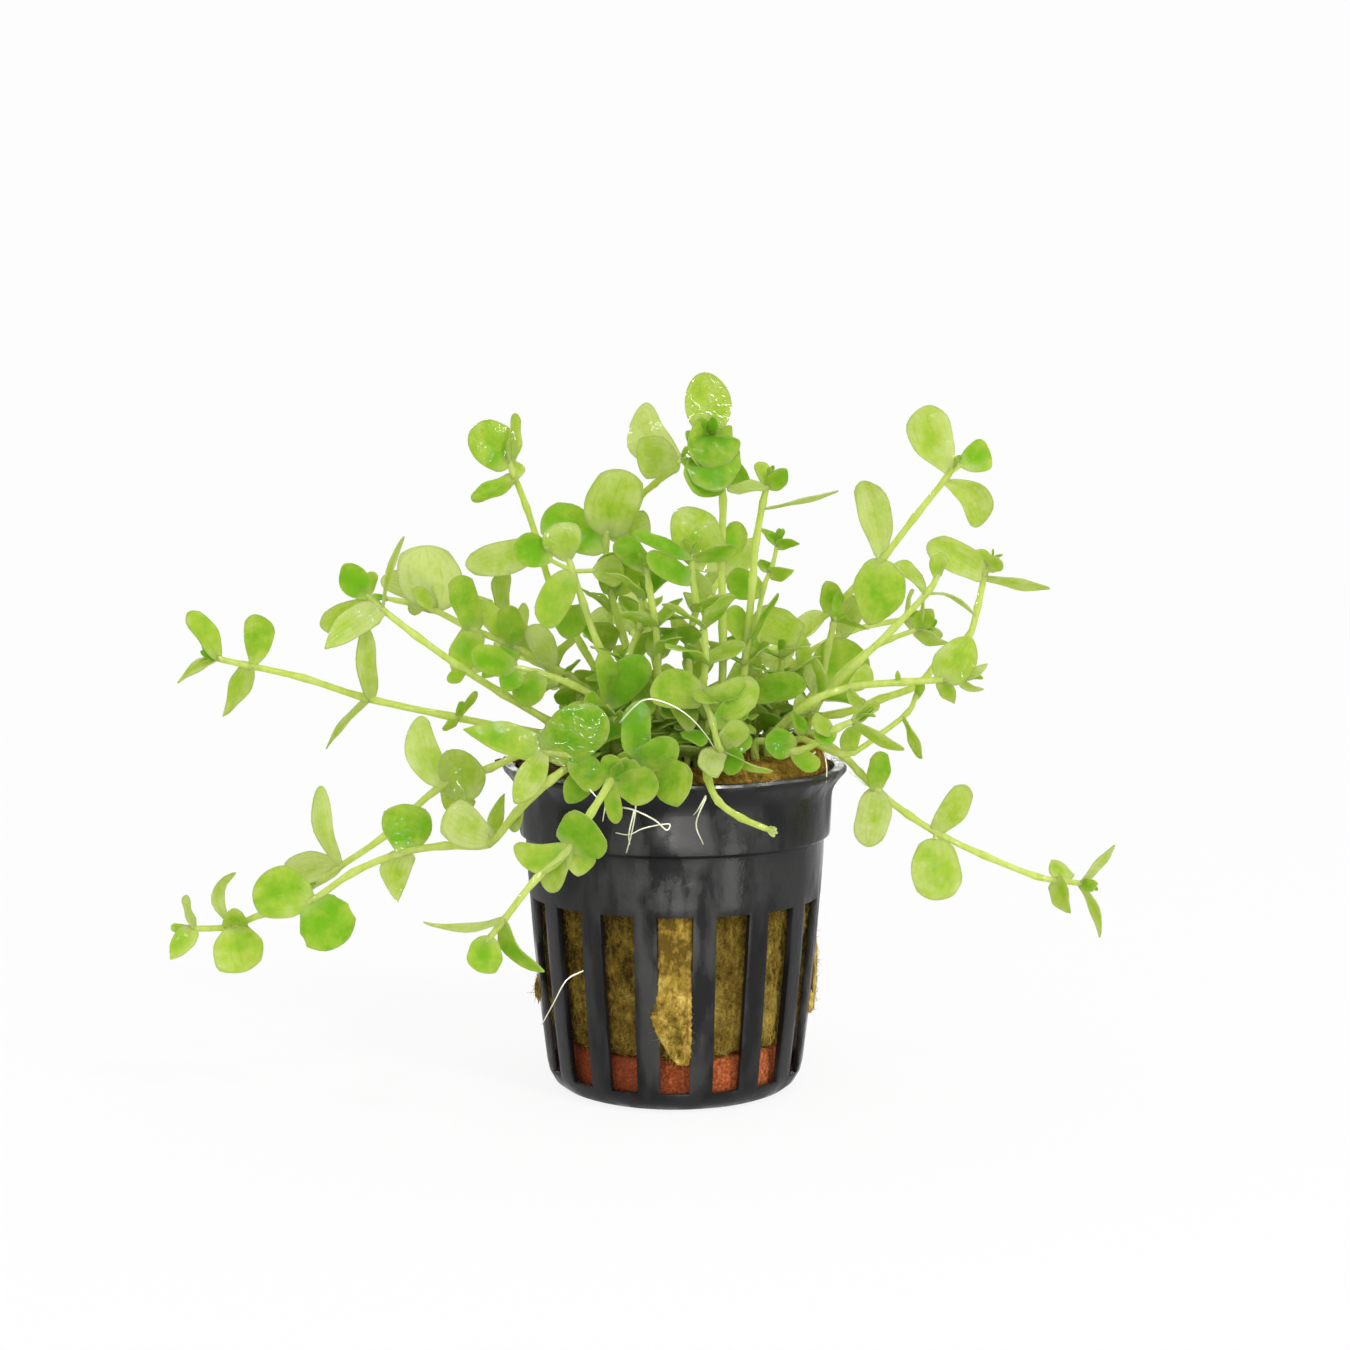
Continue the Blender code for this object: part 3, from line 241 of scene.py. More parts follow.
     "path": [(23, 60.6, -3), (28.5, 65.8, -4), (32.5, 68.1, -4), (37.2, 69.8, -4)], "leaves": [
        (3, 39, 72.9, -6, 3.4, 0, {"point": 0.6, "neck": 0.3, "tint": 0.5}),
        (3, 41.2, 67.2, -3, 3.2, 50, {"point": 0.8, "neck": 0.2}),
     ]},
    {"name": "shoot_right_fork", "root": (16, 9), "path": [
        (25, 56.8, 6), (31, 59, 5), (36.7, 61.2, 4), (40.4, 65.6, 3), (44.2, 68.4, 3), (45.6, 73, 3),
        (46.7, 78.4, 3), (47.3, 79.8, 3),
     ], "leaves": [
        (6, 38.3, 82.3, 0, 4.8, 5),
        (6, 56.5, 75.5, 6, 3.8, 58, {"wide": 0.8, "point": 0.8, "sway": -0.08, "tint": 0.7}),
        (7, 49.2, 80, 0, 2.8, 10), (7, 45.8, 81.2, 6, 2.4, 20),
     ]},
    {"name": "shoot_right_flat", "root": (14, -10),
     "path": [(20.5, 58.6, -13), (27, 60.9, -13), (34.6, 61.6, -13), (41, 62, -12), (43.8, 62.3, -12)],
     "leaves": [
        (3, 44.7, 68.3, -13, 5.2, 5, {"wide": 1.2, "point": 0.4, "neck": 0.1, "tint": 0.45}),
        (3, 42.3, 58.4, -11, 3, 30, {"point": 0.8, "neck": 0.1}),
        (4, 47.2, 64.5, -14, 2, 40, {"point": 0.8}), (4, 46.7, 60.4, -9, 1.8, 40, {"point": 0.8}),
        (2, 33.6, 63.4, -14, 1.6, 20, {"point": 0.8, "wide": 0.6}), (1, 29.8, 63.6, -10, 3.2, 10),
        (1, 28.9, 57.6, -15, 3, 30, {"point": 0.7, "wide": 0.7}),
     ]},
    {"name": "shoot_right_rim", "root": (18, -9), "stem": 0.65, "end": (37.6, 61.8, -7),
     "path": [(24.2, 50.9, -12), (27, 50.9, -12), (31, 53.6, -11), (35.2, 57, -10), (36.4, 59.4, -10)],
     "leaves": [(3, 36.4, 49.9, -8, 3.6, 64, {"sway": -0.15, "tint": 0.5}), (1, 27.2, 55, -13, 3, 10)]},
    {"name": "shoot_right_middle", "root": (12, -14),
     "path": [(18.5, 51, -18), (24.6, 54.6, -18), (27.8, 56, -18)], "leaves": [
        (2, 34.9, 51.6, -20, 3.8, 52, {"wide": 0.75, "point": 0.6}), (1, 20.6, 55.6, -20, 3.4, 40),
        (2, 30.5, 58.6, -17, 2.6, 40),
     ], "more": [
        (0, 13.6, 53.6, -20, 4.4, 0, {"tint": 0.05, "wet": 1}), (0, 21.8, 48.6, -19.5, 3, 0, {"tint": 0.3}),
        (1, 21.5, 52.4, -20, 3, 20, {"tint": 0.15}),
     ]},
    {"name": "shoot_low_right", "root": (19.5, -4), "path": [
        (25.4, 50.4, -6), (28, 47.8, -7), (31.2, 44.6, -7), (35.5, 41.3, -7), (40.3, 38.3, -7),
        (47, 35.1, -7), (55, 31.9, -7), (59, 31.2, -7), (62.6, 30.7, -7),
     ], "leaves": [
        (2, 30.4, 51.3, -9, 4, 25, {"neck": 0.45, "tint": 0.2, "point": 0.2}),
        (2, 29.3, 36.5, -11, 5.4, 0, {"tint": 0.75, "neck": 0.2}),
        (4, 44.1, 46.1, -9, 4.8, 15, {"tint": 0.6, "wide": 0.9}),
        (4, 39.1, 27.9, -11, 7.4, 0, {"tint": 0.5, "neck": 0.15, "wet": 0.15, "stalk": 0.12, "round": 0.85,
            "wide": 1.02}),
        (7, 58.4, 34.2, -3, 4.4, 25, {"point": 0.7, "neck": 0.1, "tint": 0.6}),
        (7, 60.5, 26.2, -11, 4, 35, {"point": 0.8, "neck": 0, "tint": 0.6}),
        (8, 66.1, 37.4, -8, 3.4, 56, {"point": 0.7, "wide": 0.8, "tint": 0.8}),
        (8, 65.8, 23.3, -5, 3.4, 56, {"point": 0.7, "wide": 0.8, "tint": 0.8}),
        (8, 64.1, 30.5, -9, 2.4, 0, {"tint": 0.1, "wide": 0.8}),
     ]},
    {"name": "stem_stub", "root": (4, -19),
     "path": [(5, 46.8, -27), (6.6, 43.4, -29), (10, 40.9, -30), (14.9, 38.8, -30)], "more": [
        (3, 15.5, 39.1, -30, 0.7, 0, {"tint": 1}), (3, 15.6, 38.5, -30, 0.6, 0, {"tint": 1}),
        (3, 15.1, 38, -30, 0.6, 0, {"tint": 0.8}), (3, 14.9, 39.5, -30, 0.5, 0, {"tint": 0.8}),
     ]},
    {"name": "shoot_front_middle", "root": (8, -14),
     "path": [(6.8, 51.2, -22), (5.6, 55.8, -22), (3.8, 60.2, -20)], "leaves": [
        (0, 3.4, 44.2, -28, 4.8, 0, {"wide": 1.15, "tint": 0.85, "neck": 0.2}),
        (0, 10.3, 55.3, -24, 3.8, 10, {"tint": 0.6, "neck": 0.6}),
        (0, 14.8, 48, -25, 2.6, 60, {"point": 0.5, "wide": 0.9, "tint": 0.5}),
        (2, -4.1, 60.8, -23, 5.8, 5, {"tint": 0.4, "ragged": 0.02}),
        (2, 12.6, 60.6, -22, 5.4, 5, {"sway": 0.14, "wide": 1.15, "point": 0.3, "tint": 0.45}),
     ], "more": [
        (0, 10.2, 47.9, -23.5, 3.8, 0, {"tint": 0.05}), (0, 11.8, 53, -22, 3.6, 0, {"tint": 0.05}),
        (1, 11, 58.2, -20, 4.4, 10, {"tint": 0.2, "point": 0.4}),
     ]},
    {"name": "shoot_front_low", "root": (-2, -18), "path": [(-5.2, 48.6, -24), (-6.6, 49.8, -25)],
     "leaves": [
        (1, 0.3, 52.3, -27, 4.8, 5, {"tint": 0.2}), (0, 3.2, 44, -30, 6.2, 5, {"tint": 0.3}),
        (1, -5.4, 58.6, -22, 4.2, 10, {"tint": 0.1}),
     ]},
    {"name": "shoot_middle_front", "root": (-1, -11),
     "path": [(-2.6, 58, -13), (-2.6, 66, -13), (-3, 70.5, -13), (-3.9, 76, -12), (-4.3, 79, -12)],
     "pairs": [(1, 80), (2, 0), (4, 70)]},
    {"name": "shoot_middle_tall", "root": (2, -7),
     "path": [(2.1, 60, -10), (2.1, 68, -10), (3.2, 73, -10), (2.5, 78, -10), (2.7, 81.2, -10)],
     "leaves": [
        (4, -5.9, 84.5, -12, 4.6, 48, {"wide": 0.75, "tint": 0.05}),
        (4, 9.2, 81.7, -12, 3.8, 45, {"tint": 0.2, "wide": 0.8}),
        (3, -4.7, 80.7, -14, 4.2, 10, {"tint": 0.1, "wide": 0.85}),
     ], "pairs": [(1, 10), (2, 80)]},
    {"name": "shoot_middle_low", "root": (3, -13),
     "path": [(4, 58, -16), (4.6, 65, -16), (4.4, 70.5, -16)], "pairs": [(1, 0), (2, 90)]},
    {"name": "shoot_middle_left", "root": (-9, -5),
     "path": [(-7.6, 60, -9), (-7, 65.5, -10), (-5.3, 70, -10), (-5, 75, -10)],
     "pairs": [(1, 0), (2, 90), (3, 10)]},
    {"name": "shoot_middle_back", "root": (-11, 1),
     "path": [(-10.5, 60, 2), (-10.2, 67, 2), (-9.6, 73, 2)], "pairs": [(0, 0), (1, 90), (2, 10)]},
    {"name": "shoot_middle_right", "root": (13, -2),
     "path": [(15.6, 58, -1), (16, 62.5, -1), (16.2, 66, -1)], "pairs": [(1, 0), (2, 80)]},
]

# how stems and leaves find clear places, with the same values as in the solids' source
growing = {
    "gap": 0.3 * mm, "stem": 0.78, "footGap": 0.7, "taper": 0.72, "rise": 2.2 * mm, "steep": 0.85,
    "neck": 0.3 * mm, "drop": 0.9 * mm, "stemSides": 6, "rayTop": 98.8 * mm,
    "pathSteps": (0, 1.2, -1.2, 2.4, -2.4, 3.6, -3.6, 4.8, -4.8, 6, -6),
    "tipSteps": (0, 2, -2, 4, -4, 6, -6), "turnSteps": (0, 20, -20, 40, -40),
    "rollSteps": (0, 25, -25, 50, -50, 75), "spreadSteps": (0, -14, 14), "shrinkSteps": (1.0, 0.85, 0.7),
    "bow": (-0.03, 0.07), "moreBow": 0.04, "pairWidth": 0.68,
    "pair": {"spread": (52, 74), "length": (6.2, 8.8), "bow": (0.02, 0.09)},
    "plain": {"leaves": [], "more": [], "pairs": [], "end": None, "pairForm": {"wide": 0.86, "point": 0.35}},
}
plainBlade = {
    "sides": 6, "swell": 1.16, "neckAlong": (0.1, 0.4), "neckWidth": 0.62, "neckShift": 0.05,
    "halfThickness": 0.38 * mm,
}
behind = {
    "count": 6, "nodes": 3, "azimuths": (28, 152), "rootRadii": (12 * mm, 15 * mm), "stem": 0.75 * mm,
    "reaches": (30 * mm, 38 * mm, 26 * mm), "heights": (16 * mm, 10 * mm, 22 * mm), "lean": 1.3, "roll": 90,
    "steps": (0, 5, -5, 10, -10, 15, -15, 20, -20), "pairForm": {"wide": 0.8, "point": 0.35, "tint": 0.55},
}
seeds = {"leaves": 0, "pairs": 100, "shapes": 500, "undergrowth": 31, "fibres": 7, "hairs": 19}
bothSides = (0, 180)


def seen(across, up, depth):
    # what the camera sees at (across, up) in the plane of the pot's axis, moved to its own depth
    reach = 1 - depth * mm / view["eye"].y
    return Vector((across * mm * reach, depth * mm, view["eye"].z + (up * mm - view["eye"].z) * reach))


def drawn(draw, limits):
    # a value between each pair of limits, drawn in the order in which they are listed
    return {key: draw.uniform(*ends) for key, ends in limits.items()}


def level(angle):
    return Vector((math.cos(angle), math.sin(angle), 0))


def raised(height):
    return Vector((0, 0, height))


def treeOf(thing):
    return BVHTree.FromObject(thing, bpy.context.evaluated_depsgraph_get())


def treeFrom(bm):
    tree = BVHTree.FromBMesh(bm)
    bm.free()
    return tree


def stemTree(points, radius):
    bm = bmesh.new()
    for first, second in zip(points, points[1:]):
        along = second - first
        place = Matrix.Translation((first + second) / 2) @ along.to_track_quat("Z", "Y").to_matrix().to_4x4()
        bmesh.ops.create_cone(bm, cap_ends=True, segments=growing["stemSides"], radius1=radius,
                              radius2=radius, depth=along.length, matrix=place)
    return treeFrom(bm)


def leafTree(leaf, margin):
    # the plain blade of the solids, to test what a leaf would touch
    bm = bmesh.new()
    bmesh.ops.create_uvsphere(bm, u_segments=plainBlade["sides"], v_segments=2, radius=1)
    half = leaf["width"] / 2 + margin
    length = leaf["length"] + 2 * margin
    neckFrom, neckTo = plainBlade["neckAlong"]
    for vert in bm.verts:
        across = vert.co.x * plainBlade["swell"] * half
        along = (1 + vert.co.y) / 2
        if neckFrom < along < neckTo:
            across *= plainBlade["neckWidth"]
            along += plainBlade["neckShift"]
        rise = leaf["bow"] * length * 4 * along * (1 - along)
        thickness = vert.co.z * (plainBlade["halfThickness"] + margin)
        vert.co = Vector((across, along * length - margin, rise + thickness))
    bmesh.ops.transform(bm, matrix=leaf["place"], verts=bm.verts)
    return treeFrom(bm)


def leafFacing(base, tip, facing, width, bow, form):
    along = (tip - base).normalized()
    face = (facing - facing.dot(along) * along).normalized()
    side = along.cross(face)
    place = Matrix((side, along, face)).transposed().to_4x4()
    place.translation = base - growing["neck"] * along
    length = (tip - base).length + growing["neck"]
    return {"place": place, "length": length, "width": width, "bow": bow, "form": form}


def sprout(here, way, roll, spread, length):
    # the tip of a leaf that leans out from the stem's way by spread degrees, and the side it leans to
    out = way.orthogonal().normalized()
    out.rotate(Quaternion(way, math.radians(roll)))
    angle = math.radians(spread)
    return here + length * (math.cos(angle) * way + math.sin(angle) * out), out


def setLeafChoices(base, leaf, bow):
    # a leaf of the table, then the same nearer or deeper, turned, and smaller
    _, across, up, depth, width, turn, *own = leaf
    steps = itertools.product(growing["shrinkSteps"], growing["turnSteps"], growing["tipSteps"])
    for shrink, moreTurn, step in steps:
        tip = base + shrink * (seen(across, up, depth + step) - base)
        along = (tip - base).normalized()
        facing = (view["eye"] - base).normalized()
        facing = (facing - facing.dot(along) * along).normalized()
        facing.rotate(Quaternion(along, math.radians(turn + moreTurn)))
        yield leafFacing(base, tip, facing, width * shrink * mm, bow, own[0] if own else {})


def pairLeafChoices(base, stemWay, roll, own, form):
    length = own["length"] * mm
    steps = itertools.product(growing["shrinkSteps"], growing["spreadSteps"], growing["rollSteps"])
    for shrink, moreSpread, moreRoll in steps:
        tip, _ = sprout(base, stemWay, roll + moreRoll, own["spread"] + moreSpread, shrink * length)
        yield leafFacing(base, tip, stemWay, growing["pairWidth"] * shrink * length, own["bow"], form)


def leafBase(shoot, number):
    # a little down the stem from its point
    index = shoot["start"] + number
    point = shoot["points"][index]
    return point + growing["drop"] * (shoot["points"][index - 1] - point).normalized()


def isClear(tree, owner, placed):
    return not any(other != owner and tree.overlap(around) for other, around in placed)


def clearPath(choices, radius, owner, placed):
    for points in choices:
        if isClear(stemTree(points, radius + growing["gap"]), owner, placed):
            break
    placed.append((owner, stemTree(points, radius)))
    return points


def addClearLeaf(choices, owner, placed, shoot):
    for leaf in choices:
        if isClear(leafTree(leaf, growing["gap"]), owner, placed):
            placed.append((owner, leafTree(leaf, 0)))
            shoot["blades"].append(leaf)
            return


def stemStart(x, y, radius, wool):
    top = wool.ray_cast(Vector((x, y, growing["rayTop"])), down)[0]
    foot = top + raised(growing["gap"] + growing["footGap"] * radius)
    return foot, foot + raised(growing["rise"])


def frontShoots(wool, placed):
    made = []
    for number, shoot in enumerate(shoots):
        radius = shoot.get("stem", growing["stem"]) * mm
        start = stemStart(shoot["root"][0] * mm, shoot["root"][1] * mm, radius, wool)
        if (seen(*shoot["path"][0]) - start[0]).normalized().z > growing["steep"]:
            start = start[:1]
        choices = ([*start] + [seen(across, up, depth + step) for across, up, depth in shoot["path"]]
                   for step in growing["pathSteps"])
        points = clearPath(choices, radius, number, placed)
        made.append({**growing["plain"], **shoot, "points": points, "start": len(start), "radius": radius})
    return made


def backPoints(azimuth, number, wool):
    out = level(azimuth)
    root = out * behind["rootRadii"][number % 2]
    foot, above = stemStart(root.x, root.y, behind["stem"], wool)
    points = [foot]
    for node in range(1, behind["nodes"] + 1):
        along = node / behind["nodes"]
        rise = behind["heights"][number % 3] * math.sin(along * math.pi / 2)
        points.append(above + out * behind["reaches"][number % 3] * along ** behind["lean"] + raised(rise))
    return points


def backShoots(wool, placed, firstOwner):
    made = []
    first, last = behind["azimuths"]
    pairs = [(node, behind["roll"] * (node % 2)) for node in range(behind["nodes"])]
    for number in range(behind["count"]):
        azimuth = math.radians(first + number / (behind["count"] - 1) * (last - first))
        choices = (backPoints(azimuth + math.radians(step), number, wool) for step in behind["steps"])
        points = clearPath(choices, behind["stem"], firstOwner + number, placed)
        made.append({**growing["plain"], "name": f"shoot_back_{number + 1}", "points": points, "start": 1,
                     "radius": behind["stem"], "pairs": pairs, "pairForm": behind["pairForm"]})
    return made


def grow():
    wool = treeOf(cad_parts["rock_wool"])
    placed = [(None, wool), (None, treeOf(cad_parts["net_pot"]))]
    grown = frontShoots(wool, placed)
    grown += backShoots(wool, placed, len(grown))
    for number, shoot in enumerate(grown):
        shoot["blades"] = []
        draw = random.Random(seeds["leaves"] + number)
        for leaf in shoot["leaves"]:
            choices = setLeafChoices(leafBase(shoot, leaf[0]), leaf, draw.uniform(*growing["bow"]))
            addClearLeaf(choices, number, placed, shoot)
    for number, shoot in enumerate(grown):
        draw = random.Random(seeds["pairs"] + number)
        for node, roll in shoot["pairs"]:
            base = leafBase(shoot, node)
            stemWay = (shoot["points"][shoot["start"] + node] - base).normalized()
            for turn in bothSides:
                own = drawn(draw, growing["pair"])
                choices = pairLeafChoices(base, stemWay, roll + turn, own, shoot["pairForm"])
                addClearLeaf(choices, number, placed, shoot)
    return grown


# objects and materials


def addObject(name, data):
    made = bpy.data.objects.new(name, data)
    bpy.context.scene.collection.objects.link(made)
    return made


def meshFrom(bm, name):
    mesh = bpy.data.meshes.new(name)
    bm.to_mesh(mesh)
    bm.free()
    return mesh


def applied(thing, *tools):
    # a bmesh of the thing as its bevel or modifiers leave it, in place of the thing and its tools
    bpy.context.view_layer.update()
    mesh = bpy.data.meshes.new_from_object(thing.evaluated_get(bpy.context.evaluated_depsgraph_get()))
    for one in (thing, *tools):
        bpy.data.objects.remove(one)
    bm = bmesh.new()
    bm.from_mesh(mesh)
    return bm


def finishPiece(bm, name, material, nodes=(), sharpAngle=None):
    bm.normal_update()
    mesh = meshFrom(bm, name)
    made = addObject(name, mesh)
    mesh.materials.append(material)
    mesh.shade_smooth()
    if sharpAngle:
        mesh.set_sharp_from_angle(angle=math.radians(sharpAngle))
    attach(made, "root")
    for node in nodes:
        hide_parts(node)
    return made


class Paint:
    # one material, with a short call for each kind of node
    def __init__(self, name):
        self.material = bpy.data.materials.new(name)
        self.material.use_nodes = True
        self.tree = self.material.node_tree
        self.shader = self.tree.nodes["Principled BSDF"]

    def put(self, socket, value):
        # a socket takes another node's output, or a number, vector or colour of its own
        if isinstance(value, bpy.types.NodeSocket):
            self.tree.links.new(value, socket)
        else:
            socket.default_value = (*value, 1) if socket.type == "RGBA" else value

    def surface(self, values):
        for name, value in values.items():
            self.put(self.shader.inputs[name], value)

    def add(self, kind, output, inputs, **settings):
        node = self.tree.nodes.new("ShaderNode" + kind)
        for name, value in settings.items():
            setattr(node, name, value)
        for name, value in inputs.items():
            self.put(node.inputs[name], value)
        return node.outputs[output]

    def place(self, stretch=None):
        coords = self.add("TexCoord", "Object", {})
        return self.add("Mapping", "Vector", {"Vector": coords, "Scale": stretch}) if stretch else coords

    def xyz(self):
        return self.add("SeparateXYZ", 0, {"Vector": self.place()}).node.outputs

    def attribute(self, name):
        colour = self.add("Attribute", "Color", {}, attribute_name=name)
        parts = self.add("SeparateColor", 0, {"Color": colour}).node.outputs
        return (*parts, colour.node.outputs["Alpha"])

    def noise(self, scale, detail, roughness=0.55, stretch=None):
        inputs = {"Vector": self.place(stretch), "Scale": scale, "Detail": detail, "Roughness": roughness}
        return self.add("TexNoise", "Fac", inputs)

    def ramp(self, value, stops):
        made = self.add("ValToRGB", "Color", {"Fac": value})
        ramp = made.node.color_ramp
        while len(ramp.elements) < len(stops):
            ramp.elements.new(0.5)
        for element, (place, colour) in zip(ramp.elements, stops):
            element.position = place
            element.color = (*colour, 1)
        return made

    def remap(self, value, low, high, newLow=0.0, newHigh=1.0, kind="LINEAR"):
        inputs = {"Value": value, "From Min": low, "From Max": high, "To Min": newLow, "To Max": newHigh}
        return self.add("MapRange", "Result", inputs, interpolation_type=kind)

    def calc(self, operation, *values):
        return self.add("Math", "Value", dict(enumerate(values)), operation=operation)

    def plus(self, total, *values):
        for value in values:
            total = self.calc("ADD", total, value)
        return total

    def times(self, first, second):
        return self.calc("MULTIPLY", first, second)

    def mix(self, share, first, second):
        # sockets 0, 6 and 7 are a Mix node's factor and colours, and output 2 is its colour
        return self.add("Mix", 2, {0: share, 6: first, 7: second}, data_type="RGBA")

    def bump(self, height, distance, strength, into="Normal"):
        inputs = {"Height": height, "Distance": distance, "Strength": strength}
        self.surface({into: self.add("Bump", "Normal", inputs)})


# the plant

greens = {
    "dark": (0.22, 0.51, 0.03), "fresh": (0.5, 0.635, 0.1), "pale": (0.69, 0.74, 0.35),
    "vein": (0.3, 0.47, 0.06), "veinWaves": 6, "margin": (0.42, 0.47, 0.22),
    "stem": (0.76, 0.82, 0.31), "stemShade": (0.63, 0.72, 0.18),
    "glow": (0.66, 0.82, 0.07), "glowTint": 0.4, "glowShare": 0.58, "roughness": 0.42, "specular": 0,
    # here and for the other materials, noises are (scale, detail, roughness), ranges (low, high, new low,
    # new high) and bumps (distance, strength)
    "clouds": (330, 4), "cloudTone": (0.3, 0.7, -0.28, 0.28),
    "cells": (1100, 2), "cellTone": (0.35, 0.65, -0.08, 0.08), "rimTone": (0.2, 1.0, -0.1, 0.14),
    "patches": (500, 2), "patchTone": (0.4, 0.6, 0.02, 0.3), "veinFade": (0.5, 1.0),
    "baseFade": (0.3, 0.0, 0, 0.6), "marginFade": (0.93, 1.0, 0, 0.5),
    "streaks": (900, 2), "streakStretch": 0.12, "streakTone": (0.35, 0.65),
    "folds": (420, 3), "grain": (2600, 2), "grainShare": 0.25, "foldBump": (0.55 * mm, 0.6),
    # the film of water is a thin line where its noise passes the middle
    "film": (300, 2), "filmMiddle": 0.52, "filmWidth": 0.075, "filmRoughness": 0.03, "filmIndex": 1.6,
    "beads": (1500, 1), "beadShare": 0.7, "beadBump": (0.2 * mm, 1.0),
}


def plantMaterial():
    # the attribute "blade" holds: across the leaf, along it, how near its edge, and 0 on a stem or 1 on a
    # leaf; "nature" holds: its tint and how wet it is
    paint = Paint("bacopaGreen")
    across, along, rim, isLeaf = paint.attribute("blade")
    tint, wetness, *_ = paint.attribute("nature")
    cloud = paint.remap(paint.noise(*greens["clouds"]), *greens["cloudTone"])
    cells = paint.remap(paint.noise(*greens["cells"]), *greens["cellTone"])
    tone = paint.plus(cloud, cells, tint, paint.remap(rim, *greens["rimTone"]))
    fresh = paint.ramp(tone, [(0.0, greens["dark"]), (0.5, greens["fresh"]), (1.0, greens["pale"])])
    veins = paint.calc("COSINE", paint.times(across, greens["veinWaves"] * math.tau))
    patchy = paint.remap(paint.noise(*greens["patches"]), *greens["patchTone"])
    veined = paint.mix(paint.times(paint.remap(veins, *greens["veinFade"]), patchy), fresh, greens["vein"])
    based = paint.mix(paint.remap(along, *greens["baseFade"]), veined, greens["pale"])
    edged = paint.mix(paint.remap(rim, *greens["marginFade"]), based, greens["margin"])
    streak = paint.noise(*greens["streaks"], stretch=(1, 1, greens["streakStretch"]))
    stem = paint.mix(paint.remap(streak, *greens["streakTone"]), greens["stemShade"], greens["stem"])
    colour = paint.mix(isLeaf, stem, edged)
    grain = paint.times(paint.noise(*greens["grain"]), greens["grainShare"])
    paint.bump(paint.plus(paint.noise(*greens["folds"]), grain), *greens["foldBump"])
    film = paint.calc("SUBTRACT", paint.noise(*greens["film"]), greens["filmMiddle"])
    edge = paint.remap(paint.calc("ABSOLUTE", film), greens["filmWidth"], 0.0, kind="SMOOTHSTEP")
    beads = paint.times(paint.noise(*greens["beads"]), greens["beadShare"])
    paint.bump(paint.plus(edge, beads), *greens["beadBump"], into="Coat Normal")
    paint.surface({
        "Base Color": colour, "Roughness": greens["roughness"], "Specular IOR Level": greens["specular"],
        "Coat Weight": paint.times(paint.times(edge, edge), wetness),
        "Coat Roughness": greens["filmRoughness"], "Coat IOR": greens["filmIndex"],
    })
    # light that comes through the leaves
    through = paint.mix(greens["glowTint"], colour, greens["glow"])
    glow = paint.add("BsdfTranslucent", "BSDF", {"Color": through})
    parts = {0: greens["glowShare"], 1: paint.shader.outputs["BSDF"], 2: glow}
    mixed = paint.add("MixShader", "Shader", parts)
    paint.put(paint.tree.nodes["Material Output"].inputs["Surface"], mixed)
    return paint.material


leafForm = {
    "cells": 6, "bigCells": 8, "big": 4.5 * mm, "thickness": 0.2 * mm, "sharp": 55, "round": (0.7, 1.0),
    "samples": 20,
    "groove": 0.06, "grooveWidth": 0.2, "waves": 9, "waveShift": 2, "twist": 14, "wettest": 0.4,
    # leaves further from the pot's axis are painted paler, standing in for light coming through the outer
    # leaves and shade among the inner ones
    "paintedOuterLight": 0.5, "far": 60 * mm, "underTint": 0.3, "stalkRadius": 0.36 * mm, "stalkEnd": 1.15,
    # a leaf has the plain values and draws the others, unless its own form in the table says more
    "plain": {"power": 1.6, "wave": 0.1, "wide": 1, "stalk": 0, "ragged": 0.035},
    "drawn": {"neck": (0.25, 0.66), "cup": (-0.04, 0.16), "fold": (0.0, 0.13), "curl": (-0.12, 0.16),
              "sway": (-0.06, 0.06), "tint": (0.0, 0.42), "point": (0.0, 0.15), "uneven": (-0.12, 0.12),
              "lobes": (1.1, 2.3)},
}
stemForm = {
    "sides": 8, "thinSides": 6, "steps": 4, "intoWool": 2.5 * mm, "slim": 0.8, "nodeSwell": 1.25, "tip": 0.5,
    "blade": (0.5, 0.5, 0, 0), "nature": (0.5, 0.3, 0, 1),
}


def newPlant():
    bm = bmesh.new()
    return bm, (bm.verts.layers.float_color.new("blade"), bm.verts.layers.float_color.new("nature"))


def necked(along, form):
    return 1 - form["neck"] * (1 - along) ** form["power"]


def outlineWidth(along, form):
    return 2 * math.sqrt(along * (1 - along)) * necked(along, form)


def leafShape(leaf, draw):
    form = {**leafForm["plain"], "bow": leaf["bow"], **drawn(draw, leafForm["drawn"])}
    form["wet"] = leafForm["wettest"] * draw.random() ** 3
    form["twist"] = draw.uniform(-leafForm["twist"], leafForm["twist"])
    # painted light: the further from the pot's axis, the paler the leaf
    form["tint"] += leafForm["paintedOuterLight"] * leaf["place"].translation.xy.length / leafForm["far"]
    return {**form, **leaf["form"]}


